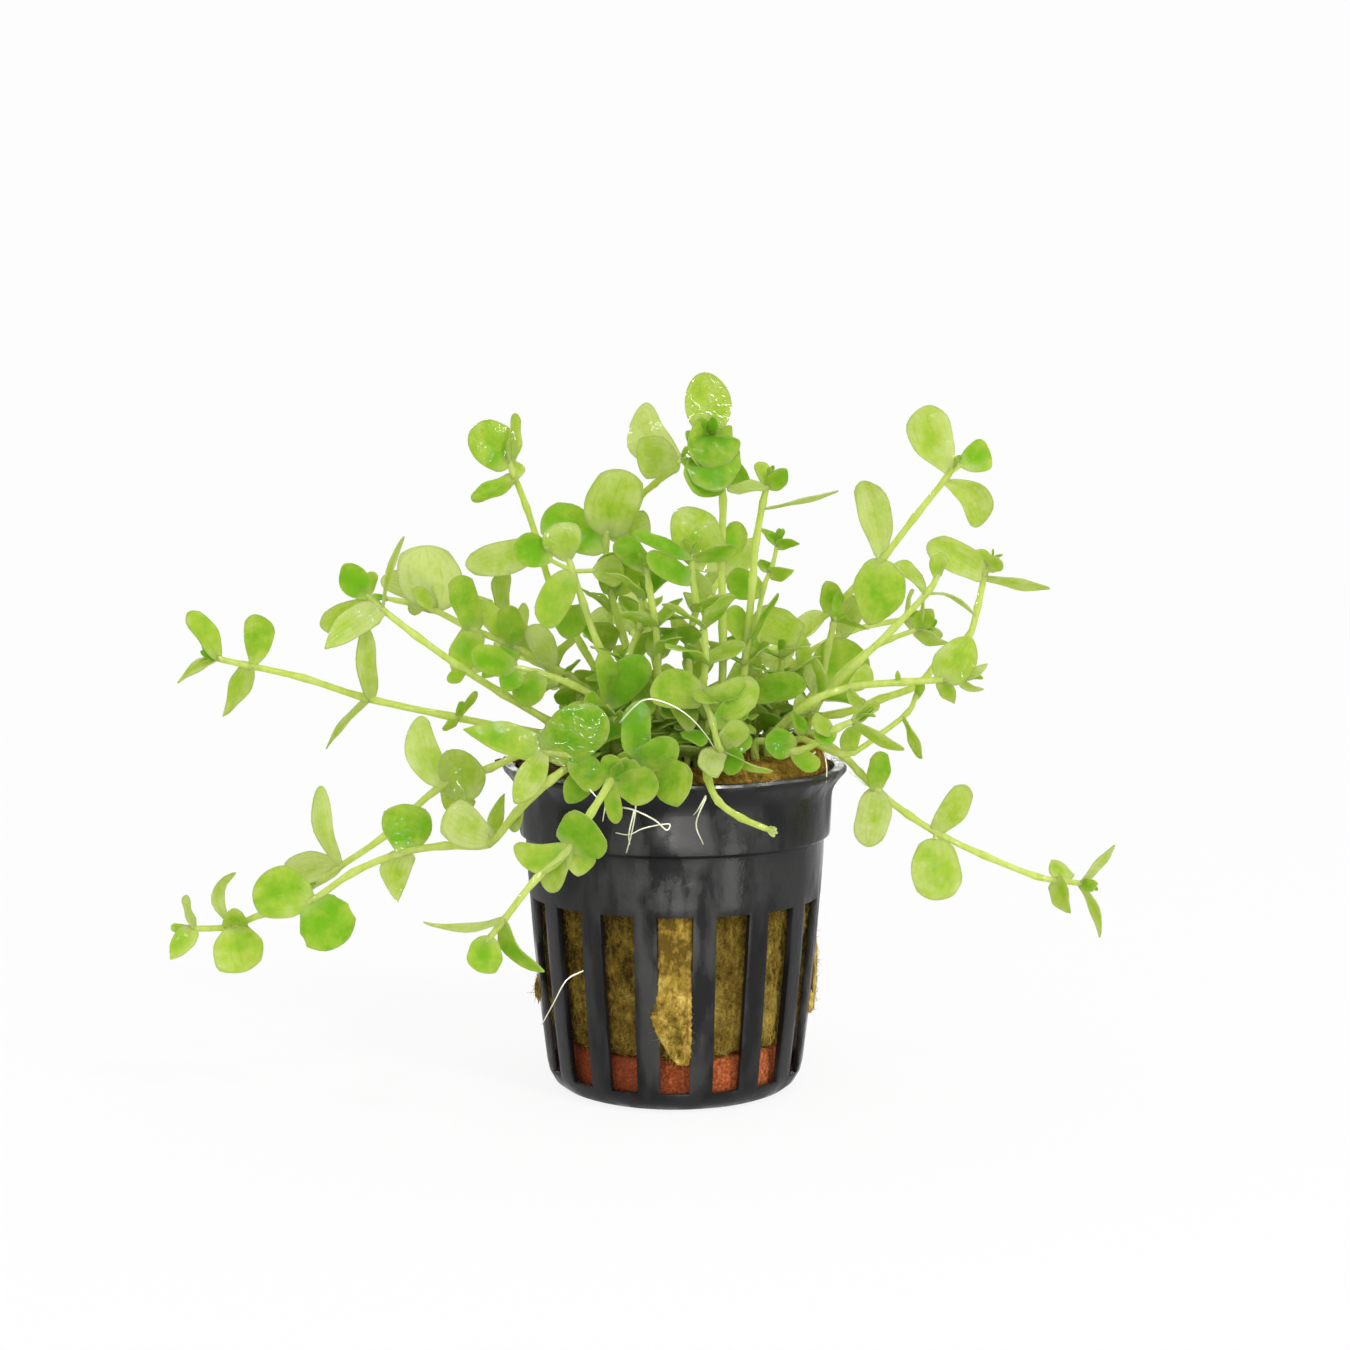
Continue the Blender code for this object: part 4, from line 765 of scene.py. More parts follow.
def addLeaf(bm, layers, leaf, draw):
    form = leafShape(leaf, draw)
    blade, nature = layers
    cells = leafForm["bigCells"] if leaf["width"] > leafForm["big"] else leafForm["cells"]
    lower = bmesh.ops.create_grid(bm, x_segments=cells, y_segments=cells, size=1)["verts"]
    samples = leafForm["samples"]
    widest = max(outlineWidth(step / samples, form) for step in range(samples + 1))
    half = form["wide"] * leaf["width"] / 2 / widest
    stalk = form["stalk"] * leaf["length"]
    length = leaf["length"] - stalk
    phase = draw.uniform(0, math.tau)
    squarest, roundest = leafForm["round"]
    corner = form.get("round", squarest + (roundest - squarest) * phase / math.tau) / 2
    for vert in lower:
        u, v = vert.co.xy
        x = u * math.sqrt(1 - corner * v * v)
        y = v * math.sqrt(1 - corner * u * u)
        along = (1 + y) / 2
        side = 1 if x > 0 else -1
        width = half * necked(along, form) * (1 - form["point"] * along**3)
        rise = form["bow"] * length * 4 * along * (1 - along) + form["curl"] * length * along**3
        rise += width * (form["cup"] * x * x + form["fold"] * abs(x))
        rise -= leafForm["groove"] * half * math.exp(-((x / leafForm["grooveWidth"]) ** 2)) * (1 - along)
        wave = leafForm["waves"] * along + phase + (leafForm["waveShift"] if x > 0 else 0)
        rise += form["wave"] * half * abs(x) ** 3 * math.sin(wave)
        wide = width * (1 + side * form["uneven"] * along)
        wide *= 1 + form["ragged"] * math.sin(math.tau * form["lobes"] * along + phase + side)
        spot = Matrix.Rotation(math.radians(form["twist"]) * along, 3, "Y") @ Vector((x * wide, 0, rise))
        spot.x += form["sway"] * length * 4 * along * (1 - along)
        spot.y = stalk + along * length
        vert.co = spot
        across = x / max(0.05, math.sqrt(max(0, 1 - y * y)))
        vert[blade] = (0.5 + 0.5 * across, along, min(1, math.hypot(x, y)), 1)
        vert[nature] = (min(1.0, form["tint"]), form["wet"], 0, 1)
    faces = list({face for vert in lower for face in vert.link_faces})
    bmesh.ops.recalc_face_normals(bm, faces=faces)
    if sum(face.normal.z for face in faces) < 0:
        bmesh.ops.reverse_faces(bm, faces=faces)
    grown = bmesh.ops.extrude_face_region(bm, geom=faces)["geom"]
    upper = [one for one in grown if isinstance(one, bmesh.types.BMVert)]
    for vert in upper:
        vert.co.z += leafForm["thickness"]
    for vert in lower:
        vert[nature] = (min(1.0, form["tint"] + leafForm["underTint"]), 0, 0, 1)
    everything = list(set(lower) | set(upper))
    bmesh.ops.recalc_face_normals(bm, faces=list({face for vert in everything for face in vert.link_faces}))
    if stalk:
        path = [Vector((0, stalk * leafForm["stalkEnd"] * share, 0)) for share in (0, 0.5, 1)]
        everything += stemAlong(bm, layers, path, [leafForm["stalkRadius"]] * 3, stemForm["thinSides"])
    bmesh.ops.transform(bm, matrix=leaf["place"], verts=everything)


def smoothPath(points, steps):
    # a Catmull-Rom curve through the points
    ends = [2 * points[0] - points[1], *points, 2 * points[-1] - points[-2]]
    made = []
    for a, b, c, d in zip(ends, ends[1:], ends[2:], ends[3:]):
        for step in range(steps):
            t = step / steps
            made.append(0.5 * (2 * b + (c - a) * t + (2 * a - 5 * b + 4 * c - d) * t * t
                               + (3 * b - a - 3 * c + d) * t**3))
    made.append(points[-1].copy())
    return made


def stemAlong(bm, layers, path, radii, sides):
    way = (path[1] - path[0]).normalized()
    ring = bmesh.ops.create_circle(bm, cap_ends=True, segments=sides, radius=1)["verts"]
    turn = way.to_track_quat("Z", "Y").to_matrix().to_4x4()
    start = Matrix.Translation(path[0]) @ turn @ Matrix.Scale(radii[0], 4)
    bmesh.ops.transform(bm, matrix=start, verts=ring)
    face = next(one for one in ring[0].link_faces if len(one.verts) == sides)
    everything = list(ring)
    for index in range(1, len(path)):
        if index == 1:
            # this way of extruding leaves the first face in place, as the stem's lower end
            grown = bmesh.ops.extrude_face_region(bm, geom=[face])["geom"]
            face = next(one for one in grown if isinstance(one, bmesh.types.BMFace))
        else:
            face = bmesh.ops.extrude_discrete_faces(bm, faces=[face])["faces"][0]
        before = way
        way = (path[min(index + 1, len(path) - 1)] - path[index - 1]).normalized()
        spin = before.rotation_difference(way).to_matrix().to_4x4()
        scale = Matrix.Scale(radii[index] / radii[index - 1], 4)
        move = Matrix.Translation(path[index]) @ spin @ scale @ Matrix.Translation(-path[index - 1])
        bmesh.ops.transform(bm, matrix=move, verts=face.verts)
        everything += list(face.verts)
    blade, nature = layers
    for vert in everything:
        vert[blade] = stemForm["blade"]
        vert[nature] = stemForm["nature"]
    return everything


def addStem(bm, layers, shoot):
    points = [shoot["points"][0] - raised(stemForm["intoWool"])] + shoot["points"][1:]
    if shoot["end"]:
        points.append(seen(*shoot["end"]))
    path = smoothPath(points, stemForm["steps"])
    last = len(path) - 1
    radii = []
    for number in range(len(path)):
        radius = stemForm["slim"] * shoot["radius"] * (1 - (1 - growing["taper"]) * (number / last))
        if number % stemForm["steps"] == 0 and number > stemForm["steps"]:
            radius *= stemForm["nodeSwell"]
        radii.append(radius * (stemForm["tip"] if number == last else 1))
    stemAlong(bm, layers, path, radii, stemForm["sides"])


# small leaves that fill the middle of the bunch
crown = {
    "middle": Vector((2 * mm, -4 * mm, 56 * mm)), "reach": (19 * mm, 17 * mm, 10.5 * mm),
    "lowest": 51.5 * mm, "spacing": (4.5 * mm, 8 * mm), "steps": 6,
    "leaf": {"length": (3.4, 6.4), "turn": (-25, 25), "spread": (45, 85), "widthShare": (0.6, 0.8),
             "point": (0, 0.5), "tint": (0.02, 0.75), "bow": (0.0, 0.09)},
}


def littleLeaf(here, way, roll, draw, limits):
    own = drawn(draw, limits)
    length = own["length"] * mm
    tip, _ = sprout(here, way, roll + own["turn"], own["spread"], length)
    form = {"point": own["point"], "tint": own["tint"]}
    return leafFacing(here, tip, way, length * own["widthShare"], own["bow"], form)


def crownLeaves(shoot, draw):
    made = []
    path = smoothPath(shoot["points"], crown["steps"])
    left = draw.uniform(*crown["spacing"])
    roll = draw.uniform(0, 180)
    for before, here in zip(path, path[1:]):
        left -= (here - before).length
        away = here - crown["middle"]
        far = math.sqrt(sum((part / reach) ** 2 for part, reach in zip(away, crown["reach"])))
        if left > 0 or far > 1 or here.z < crown["lowest"]:
            continue
        left = draw.uniform(*crown["spacing"])
        roll += 90
        way = (here - before).normalized()
        made += [littleLeaf(here, way, roll + turn, draw, crown["leaf"]) for turn in bothSides]
    return made


budForm = {
    "leaf": {"spread": (12, 38), "length": (1.6, 2.8), "widthShare": (0.4, 0.55)}, "sink": 0.3 * mm,
    "bow": 0.05, "form": {"tint": 0.05},
}


def tipBuds(shoot, draw):
    before, here = shoot["points"][-2:]
    way = (here - before).normalized()
    roll = draw.uniform(0, 180)
    made = []
    for turn in bothSides:
        own = drawn(draw, budForm["leaf"])
        length = own["length"] * mm
        tip, out = sprout(here, way, roll + turn, own["spread"], length)
        base = here - budForm["sink"] * way
        width = length * own["widthShare"]
        made.append(leafFacing(base, tip, way - out, width, budForm["bow"], budForm["form"]))
    return made


def shootPiece(shoot, number, green):
    bm, layers = newPlant()
    draw = random.Random(seeds["shapes"] + number)
    addStem(bm, layers, shoot)
    more = [next(setLeafChoices(leafBase(shoot, leaf[0]), leaf, growing["moreBow"]))
            for leaf in shoot["more"]]
    buds = tipBuds(shoot, draw) if shoot["blades"] else []
    for leaf in shoot["blades"] + more + crownLeaves(shoot, draw) + buds:
        addLeaf(bm, layers, leaf, draw)
    return finishPiece(bm, shoot["name"] + "_fine", green, [shoot["name"]], leafForm["sharp"])


undergrowth = {
    "count": 34, "reach": 18 * mm, "height": (3, 12), "lean": 0.55, "radius": 0.45 * mm, "sink": 1 * mm,
    "nodes": (0, 0.4, 0.75, 1), "steps": 3, "rightGap": 9 * mm,
    "leaf": {"turn": (-20, 20), "spread": (50, 85), "length": (3.6, 6.8), "widthShare": (0.6, 0.85),
             "point": (0, 0.5), "tint": (0.0, 0.7), "bow": (0, 0.08)},
}


def undergrowthPiece(green):
    wool = treeOf(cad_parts["rock_wool"])
    draw = random.Random(seeds["undergrowth"])
    bm, layers = newPlant()
    for _ in range(undergrowth["count"]):
        angle = draw.uniform(0, math.tau)
        radius = undergrowth["reach"] * math.sqrt(draw.random())
        x, y = radius * math.cos(angle), radius * math.sin(angle)
        height = draw.uniform(*undergrowth["height"]) * mm
        if x > undergrowth["rightGap"] and y < 0:
            continue
        foot = wool.ray_cast(Vector((x, y, growing["rayTop"])), down)[0] - raised(undergrowth["sink"])
        lean = Vector((x, y, 0)) * undergrowth["lean"] * height / undergrowth["reach"]
        points = [foot + lean * share**2 + raised(height * share) for share in undergrowth["nodes"]]
        path = smoothPath(points, undergrowth["steps"])
        stemAlong(bm, layers, path, [undergrowth["radius"]] * len(path), stemForm["thinSides"])
        roll = draw.uniform(0, 180)
        for before, here in zip(points, points[1:]):
            way = (here - before).normalized()
            roll += 90
            for turn in bothSides:
                leaf = littleLeaf(here, way, roll + turn, draw, undergrowth["leaf"])
                addLeaf(bm, layers, leaf, draw)
    return finishPiece(bm, "undergrowth", green, sharpAngle=leafForm["sharp"])


# the pot

potForm = {
    "steps": 128, "edge": 0.14 * mm, "sharp": 38, "bevelFrom": 50,
    "lipFrom": 47 * mm, "lipWave": 0.12 * mm, "lipPinch": 0.004, "lipLayers": ((90, 1), (260, 0.6)),
    # cuts through the wall and the base: reach and height from low to high, and width at foot and top
    "slots": 16, "slotCut": ((16.4 * mm, 27 * mm), (3.1 * mm, 29.7 * mm), (4.2 * mm, 5.3 * mm)),
    "baseSlots": 8, "baseCut": ((6 * mm, 13.5 * mm), (-1 * mm, 2 * mm), (2.4 * mm, 2.4 * mm)),
    "shades": [(0.3, (0.003, 0.003, 0.0032)), (0.7, (0.009, 0.009, 0.0095))], "specular": 0.17,
    "clouds": (120, 5), "cloudStretch": 0.5, "smears": (210, 4), "smearStretch": 0.35,
    "smearTone": (0.42, 0.58, 0.2, 0.5), "dents": (130, 3), "grain": (2200, 2), "grainShare": 0.12,
    "dentBump": (0.35 * mm, 0.5),
    "outer": [(24.9, 49.4), (25.7, 49.3), (26.0, 48.95), (25.95, 48.5), (25.4, 47.9), (24.8, 47.2),
              (24.2, 46.3), (23.85, 45.4), (23.75, 44.5), (23.7, 42.5), (23.6, 40.5), (23.55, 39.4),
              (23.45, 38.9), (23.1, 38.62), (22.75, 38.4), (22.6, 37.8), (22.5, 35), (22.2, 31), (21.9, 27),
              (21.5, 22), (21.0, 17), (20.5, 12), (19.9, 7), (19.55, 4.2), (19.2, 2.7), (18.4, 1.3),
              (17.3, 0.45), (16.4, 0.1), (15.6, 0), (0, 0)],
    "inner": [(0, 1), (16.4, 1), (18.0, 1.9), (18.6, 3.4), (19.5, 12), (20.5, 22), (21.4, 35), (21.6, 38.6),
              (22.6, 39.8), (22.7, 45.6), (23.6, 47.2), (24.1, 48.6), (24.2, 49.2)],
}


def potMaterial():
    paint = Paint("potBlack")
    cloud = paint.noise(*potForm["clouds"], stretch=(1, 1, potForm["cloudStretch"]))
    smear = paint.noise(*potForm["smears"], stretch=(1, 1, potForm["smearStretch"]))
    paint.surface({
        "Base Color": paint.ramp(cloud, potForm["shades"]), "Specular IOR Level": potForm["specular"],
        "Roughness": paint.remap(smear, *potForm["smearTone"]),
    })
    grain = paint.times(paint.noise(*potForm["grain"]), potForm["grainShare"])
    paint.bump(paint.plus(grain, paint.noise(*potForm["dents"])), *potForm["dentBump"])
    return paint.material


def slotAngle(number):
    return math.tau * number / potForm["slots"] - math.pi / 2


def addWedge(bm, cut, angle):
    reach, heights, widths = cut
    made = bmesh.ops.create_cube(bm, size=1)["verts"]
    for vert in made:
        high = vert.co.z > 0
        vert.co = Vector((reach[vert.co.x > 0], vert.co.y * widths[high], heights[high]))
    bmesh.ops.rotate(bm, verts=made, cent=(0, 0, 0), matrix=Matrix.Rotation(angle, 3, "Z"))


def spun(profile, steps, closed=False):
    # a profile of (radius, height) in mm, turned about the axis
    bm = bmesh.new()
    points = [bm.verts.new((radius * mm, 0, height * mm)) for radius, height in profile]
    edges = [bm.edges.new(pair) for pair in zip(points, points[1:])]
    if closed:
        edges.append(bm.edges.new((points[-1], points[0])))
    bmesh.ops.spin(bm, geom=points + edges, cent=(0, 0, 0), axis=(0, 0, 1), angle=math.tau, steps=steps,
                   use_merge=True)
    bmesh.ops.remove_doubles(bm, verts=bm.verts, dist=0.00001)
    bmesh.ops.recalc_face_normals(bm, faces=bm.faces)
    return bm


def lumps(place, layers):
    # noise of several sizes, each a (scale, share)
    return sum(share * noise.noise(place * scale) for scale, share in layers)


def cutAndRound(bm, cutter):
    body = addObject("cutting", meshFrom(bm, "cutting"))
    tool = addObject("cutter", meshFrom(cutter, "cutter"))
    cut = body.modifiers.new("cut", "BOOLEAN")
    cut.solver = "EXACT"
    cut.object = tool
    rounding = body.modifiers.new("edges", "BEVEL")
    rounding.width = potForm["edge"]
    rounding.segments = 2
    rounding.limit_method = "ANGLE"
    rounding.angle_limit = math.radians(potForm["bevelFrom"])
    return applied(body, tool)


def potPiece():
    bm = spun(potForm["inner"] + potForm["outer"], potForm["steps"])
    for vert in bm.verts:
        if vert.co.z > potForm["lipFrom"]:
            wave = lumps(vert.co, potForm["lipLayers"])
            vert.co.z += potForm["lipWave"] * wave
            vert.co.xy *= 1 - potForm["lipPinch"] * abs(wave)
    cutter = bmesh.new()
    for number in range(potForm["slots"]):
        addWedge(cutter, potForm["slotCut"], slotAngle(number))
    for number in range(potForm["baseSlots"]):
        addWedge(cutter, potForm["baseCut"], math.tau * (number + 0.5) / potForm["baseSlots"])
    cut = cutAndRound(bm, cutter)
    return finishPiece(cut, "potShell", potMaterial(), ["net_pot"], potForm["sharp"])


# the clay ring

clayForm = {
    "steps": 96, "radius": 17.4, "bore": 6.5, "foot": 1.4, "top": 7.9, "lump": 0.12 * mm, "lumpScale": 500,
    "shades": [(0.25, (0.13, 0.024, 0.007)), (0.5, (0.22, 0.045, 0.012)), (0.7, (0.42, 0.11, 0.034)),
               (0.92, (0.66, 0.25, 0.11))],
    # painted shading: the ring darker on the left and lighter on the right, standing in for light from the
    # right
    "paintedSideShade": (-14 * mm, 12 * mm, -0.16, 0.18), "grit": (2200, 4, 0.6), "gritBump": (0.2 * mm, 0.7),
    "specular": 0.02, "roughness": 0.75,
}


def clayMaterial():
    paint = Paint("terracotta")
    # the grit noise here also carries that painted shading, in both the colour and the bump
    grit = paint.plus(paint.noise(*clayForm["grit"]), paint.remap(paint.xyz()["X"], *clayForm["paintedSideShade"]))
    paint.surface({
        "Base Color": paint.ramp(grit, clayForm["shades"]), "Specular IOR Level": clayForm["specular"],
        "Roughness": clayForm["roughness"],
    })
    paint.bump(grit, *clayForm["gritBump"])
    return paint.material


def clayPiece():
    r, b, f, t = (clayForm[key] for key in ("radius", "bore", "foot", "top"))
    outline = [(r - 0.7, t), (r - 0.2, t - 0.25), (r, t - 0.8), (r, t - 2), (r, t - 3.5), (r - 0.1, f + 1),
               (r - 0.5, f + 0.2), (r - 1, f), (b + 1, f), (b, f + 0.6), (b, t - 0.6), (b + 0.8, t)]
    bm = spun(outline, clayForm["steps"], closed=True)
    for vert in bm.verts:
        vert.co += vert.normal * clayForm["lump"] * noise.noise(vert.co * clayForm["lumpScale"])
    return finishPiece(bm, "clayRing", clayMaterial(), ["clay_ring"])


# the rock wool

woolForm = {
    "steps": 110, "tilt": 0.075, "lumps": 0.8 * mm, "lumpLayers": ((130, 1), (500, 0.6), (1200, 0.3)),
    "block": 0.8 * mm, "blockFrom": 17 * mm, "topFrom": 49.8 * mm, "sideTo": 49 * mm,
    "shag": 0.45 * mm, "shagLayers": ((420, 1), (1100, 0.5)), "sideInward": 0.4,
    "outline": [*((radius, 50.4) for radius in range(22)), (22, 50.1), (22.8, 49.7), (23.3, 49.2),
                (22.6, 47.4), (22.0, 45.8), (22.0, 43), (22.0, 40.8), (20.9, 38), (20.7, 35), (20.5, 32),
                (20.35, 30), (20.2, 28), (20.0, 26), (19.85, 24), (19.7, 22), (19.5, 20), (19.3, 18),
                (19.15, 16), (18.95, 14), (18.75, 12), (18.5, 10), (18.0, 8.5), (17.4, 8.2), (12, 8.2),
                (0, 8.2)],
    "clumps": (190, 5, 0.7), "clumpShare": 0.45, "strands": (1300, 4, 0.7), "strandShare": 0.55,
    "strandStretch": 0.55, "strandBump": (0.5 * mm, 0.9), "roughness": 0.8, "specular": 0.01,
    # painted shading, standing in for how the light falls on the wool in the slots: darker towards the left
    # and a little lighter towards the right, lighter in the outermost slots on both sides, and darker higher
    # up under the pot's band
    "paintedSideShade": (-20 * mm, 4 * mm, -0.1, 0.02), "paintedEdgeLight": (12.5 * mm, 16 * mm, 0.0, 0.05),
    "paintedShadeHeights": (14 * mm, 26 * mm), "topFade": (46 * mm, 49 * mm),
    # how strongly each wool material is painted darker higher up, as painted shade under the pot's band
    "paintedUpperShade": {"rockWool": 0.05, "woolFibre": 0.05, "woolPale": 0.11},
    # dark, middle and light, and how the wool's top is rustier
    "rockWool": ((0.035, 0.02, 0.003), (0.17, 0.108, 0.016), (0.42, 0.3, 0.06)),
    "woolFibre": ((0.07, 0.042, 0.006), (0.26, 0.175, 0.027), (0.52, 0.39, 0.09)),
    "woolPale": ((0.11, 0.068, 0.01), (0.34, 0.225, 0.036), (0.64, 0.48, 0.13)),
    "rust": (0.85, 0.72, 0.55), "stops": (0.36, 0.49, 0.63), "topStops": (0.33, 0.45, 0.6),
}


def woolMaterial(name):
    paint = Paint(name)
    x, _, z = paint.xyz()
    strands = paint.noise(*woolForm["strands"], stretch=(1, 1, woolForm["strandStretch"]))
    mixed = paint.plus(paint.times(paint.noise(*woolForm["clumps"]), woolForm["clumpShare"]),
                       paint.times(strands, woolForm["strandShare"]))
    # painted shade and light: darker on the left, lighter in the outermost slots and darker higher up
    paintedShading = paint.plus(paint.remap(x, *woolForm["paintedSideShade"]),
                        paint.remap(paint.calc("ABSOLUTE", x), *woolForm["paintedEdgeLight"]),
                        paint.remap(z, *woolForm["paintedShadeHeights"], 0.0, -woolForm["paintedUpperShade"][name]))
    mixed = paint.plus(mixed, paintedShading)
    golden = paint.ramp(mixed, list(zip(woolForm["stops"], woolForm[name])))
    rusty = [[part * tint for part, tint in zip(colour, woolForm["rust"])] for colour in woolForm[name]]
    onTop = paint.ramp(mixed, list(zip(woolForm["topStops"], rusty)))
    colour = paint.mix(paint.remap(z, *woolForm["topFade"]), golden, onTop)
    paint.surface({"Base Color": colour, "Roughness": woolForm["roughness"],
                   "Specular IOR Level": woolForm["specular"]})
    paint.bump(strands, *woolForm["strandBump"])
    return paint.material


def woolTopRise(x, y):
    block = woolForm["block"] * max(0, math.tanh((x - woolForm["blockFrom"]) / mm))
    rough = woolForm["lumps"] * lumps(Vector((x, y, 0)), woolForm["lumpLayers"])
    return woolForm["tilt"] * x + block + rough


def woolPiece():
    bm = spun(woolForm["outline"], woolForm["steps"])
    for vert in bm.verts:
        if vert.co.z > woolForm["topFrom"]:
            vert.co.z += woolTopRise(vert.co.x, vert.co.y)
        inward = woolForm["sideInward"] if vert.co.z < woolForm["sideTo"] else 0
        vert.co += vert.normal * woolForm["shag"] * (lumps(vert.co, woolForm["shagLayers"]) - inward)
    return finishPiece(bm, "woolPlug", woolMaterial("rockWool"), ["rock_wool"])


def strandCurve(name, strands, radius):
    # each strand is a row of (place, share of the radius)
    curve = bpy.data.curves.new(name, "CURVE")
    curve.dimensions = "3D"
    curve.bevel_depth = radius
    curve.bevel_resolution = 0
    curve.use_fill_caps = True
    for points in strands:
        spline = curve.splines.new("POLY")
        spline.points.add(len(points) - 1)
        for point, (place, share) in zip(spline.points, points):
            point.co = (*place, 1)
            point.radius = share
    bm = applied(addObject(name, curve))
    bmesh.ops.remove_doubles(bm, verts=bm.verts, dist=0.000002)
    bmesh.ops.recalc_face_normals(bm, faces=bm.faces)
    return bm


fibreForm = {
    "sides": 3400, "top": 1800, "radius": 0.04 * mm, "length": (1.6, 5.0), "slotReach": 0.125,
    "slotHeight": (8.4, 29.5), "topReach": 23 * mm, "bend": 0.5, "steps": 4, "thin": 0.6,
    "out": 0.12 * mm, "loose": (-0.05, 0.22), "endsOut": 0.25 * mm, "rayFrom": 30, "rayTop": 60 * mm,
}


def castInward(tree, angle, height):
    out = level(angle)
    return tree.ray_cast(out * fibreForm["rayFrom"] * mm + raised(height), -out)[:2]


def fibrePiece(plug):
    tree = treeOf(plug)
    draw = random.Random(seeds["fibres"])
    strands = []
    for number in range(fibreForm["sides"] + fibreForm["top"]):
        if number < fibreForm["sides"]:
            slot = draw.randrange(potForm["slots"])
            angle = slotAngle(slot) + draw.uniform(-fibreForm["slotReach"], fibreForm["slotReach"])
            hit, normal = castInward(tree, angle, draw.uniform(*fibreForm["slotHeight"]) * mm)
        else:
            angle = draw.uniform(0, math.tau)
            radius = fibreForm["topReach"] * math.sqrt(draw.random())
            origin = Vector((radius * math.cos(angle), radius * math.sin(angle), fibreForm["rayTop"]))
            hit, normal = tree.ray_cast(origin, down)[:2]
        if hit is None:
            continue
        way = normal.orthogonal().normalized()
        way.rotate(Quaternion(normal, draw.uniform(0, math.tau)))
        length = draw.uniform(*fibreForm["length"]) * mm
        bend = draw.uniform(-fibreForm["bend"], fibreForm["bend"])
        side = normal.cross(way)
        points = []
        for step in range(fibreForm["steps"]):
            t = step / (fibreForm["steps"] - 1) - 0.5
            place = hit + way * length * t + side * bend * length * (0.25 - t * t)
            out = fibreForm["out"] + draw.uniform(*fibreForm["loose"]) * mm + fibreForm["endsOut"] * abs(t)
            points.append((place + normal * out, 1 - fibreForm["thin"] * abs(t)))
        strands.append(points)
    bm = strandCurve("fibres", strands, fibreForm["radius"])
    return finishPiece(bm, "woolFibres", woolMaterial("woolFibre"))


looseForm = {
    # the flap's rows from its top down: height, left edge, right edge, and how far it stands out
    "flap": [(31, -2.3, 2.3, -1.6), (29.5, -2.45, 2.45, -1.3), (27, -2.5, 2.5, -0.7),
             (24, -2.45, 2.45, -0.35), (21, -2.4, 2.4, -0.2), (18.6, -2.5, 2.4, 0), (17.0, -2.9, 2.4, 0.3),
             (15.8, -3.3, 2.4, 0.55), (14.7, -3.5, 2.4, 0.55), (13.4, -3.0, 2.35, 0.4),
             (12.2, -2.6, 2.4, 0.35), (11, -1.9, 2.35, 0.35), (9.9, -1.3, 2.3, 0.35), (8.9, -0.6, 2.25, 0.3),
             (8, 0.3, 2.0, 0.1), (7.5, 1.0, 1.7, -0.4)],
    "flapCells": (16, 80), "flapRadius": 19.9, "flapFoot": 7, "flapFlare": 0.1, "flapLumps": 0.4,
    "flapTorn": 0.3, "flapThickness": 0.6 * mm, "flapSpot": (0, 12, 4), "flapShare": 5,
    "rowScale": 3, "edgeScale": 2.5, "lumpScale": 0.9,
    # azimuth, height, and half the size outwards, sideways and up
    "tufts": [(88, 20, (0.5, 1.3, 6.5)), (84, 13, (0.8, 1.0, 1.6)), (91, 15.5, (0.75, 0.8, 1.3)),
              (-87, 15, (0.7, 0.9, 2.2)), (-80, 16, (0.5, 0.9, 1.6)), (-93, 49.3, (1.9, 1.2, 0.8))],
    "tuftRough": (2.2, 0.5), "tuftReach": 3, "rimRadius": 25.2, "rimFrom": 30,
    "wall": ((19.45, 3), (22.1, 29.7)),  # radius and height at the foot and the top of the slotted wall
    "hairs": 700, "hairSpread": 3.5, "hairLift": (0, 0.3), "hairLength": (0.7, 2.0), "hairSag": (-0.3, 0.3),
    "hairSteps": (0, 0.33, 0.67, 1), "hairThin": 0.7, "hairGather": 1.6,
}


def wallRadius(height):
    (footRadius, foot), (topRadius, top) = looseForm["wall"]
    return footRadius + (topRadius - footRadius) * (height - foot) / (top - foot)


def addFlap(bm):
    rows = looseForm["flap"]
    rowScale, edgeScale, lumpScale = (looseForm[key] for key in ("rowScale", "edgeScale", "lumpScale"))
    cellsAcross, cellsDown = looseForm["flapCells"]
    made = bmesh.ops.create_grid(bm, x_segments=cellsAcross, y_segments=cellsDown, size=1)["verts"]
    for vert in made:
        u, v = vert.co.xy
        spot = (1 - v) / 2 * (len(rows) - 1.001)
        row = Vector(rows[int(spot)]).lerp(Vector(rows[int(spot) + 1]), spot - int(spot))
        height = row[0] + looseForm["flapTorn"] * noise.noise(Vector((rowScale * u, rowScale * v, 8)))
        torn = looseForm["flapTorn"] * noise.noise(Vector((0, height * edgeScale, 5)))
        x = row[1] + torn + (row[2] - row[1] - 2 * torn) * (u + 1) / 2
        out = looseForm["flapRadius"] + (height - looseForm["flapFoot"]) * looseForm["flapFlare"] + row[3]
        out += looseForm["flapLumps"] * noise.noise(Vector((x, height, 0)) * lumpScale)
        vert.co = Vector((x, -out, height)) * mm
    grown = bmesh.ops.extrude_face_region(bm, geom=list(bm.faces))["geom"]
    for vert in grown:
        if isinstance(vert, bmesh.types.BMVert):
            vert.co.y += looseForm["flapThickness"]


def addTuft(bm, azimuth, height, sizes):
    radius = looseForm["rimRadius"] if height > looseForm["rimFrom"] else wallRadius(height)
    turn = Matrix.Rotation(math.radians(azimuth - 90), 4, "Z")
    blob = bmesh.ops.create_icosphere(bm, subdivisions=3, radius=1)["verts"]
    scale, share = looseForm["tuftRough"]
    for vert in blob:
        rough = 1 + share * noise.noise(vert.co * scale + Vector((height, 0, azimuth)))
        vert.co = Vector([part * size for part, size in zip(vert.co, sizes)]) * mm * rough
    place = turn @ Matrix.Translation((radius * mm, 0, height * mm))
    bmesh.ops.transform(bm, matrix=place, verts=blob)


def loosePiece(pale):
    bm = bmesh.new()
    addFlap(bm)
    for tuft in looseForm["tufts"]:
        addTuft(bm, *tuft)
    bmesh.ops.recalc_face_normals(bm, faces=bm.faces)
    return finishPiece(bm, "woolFlap", pale)


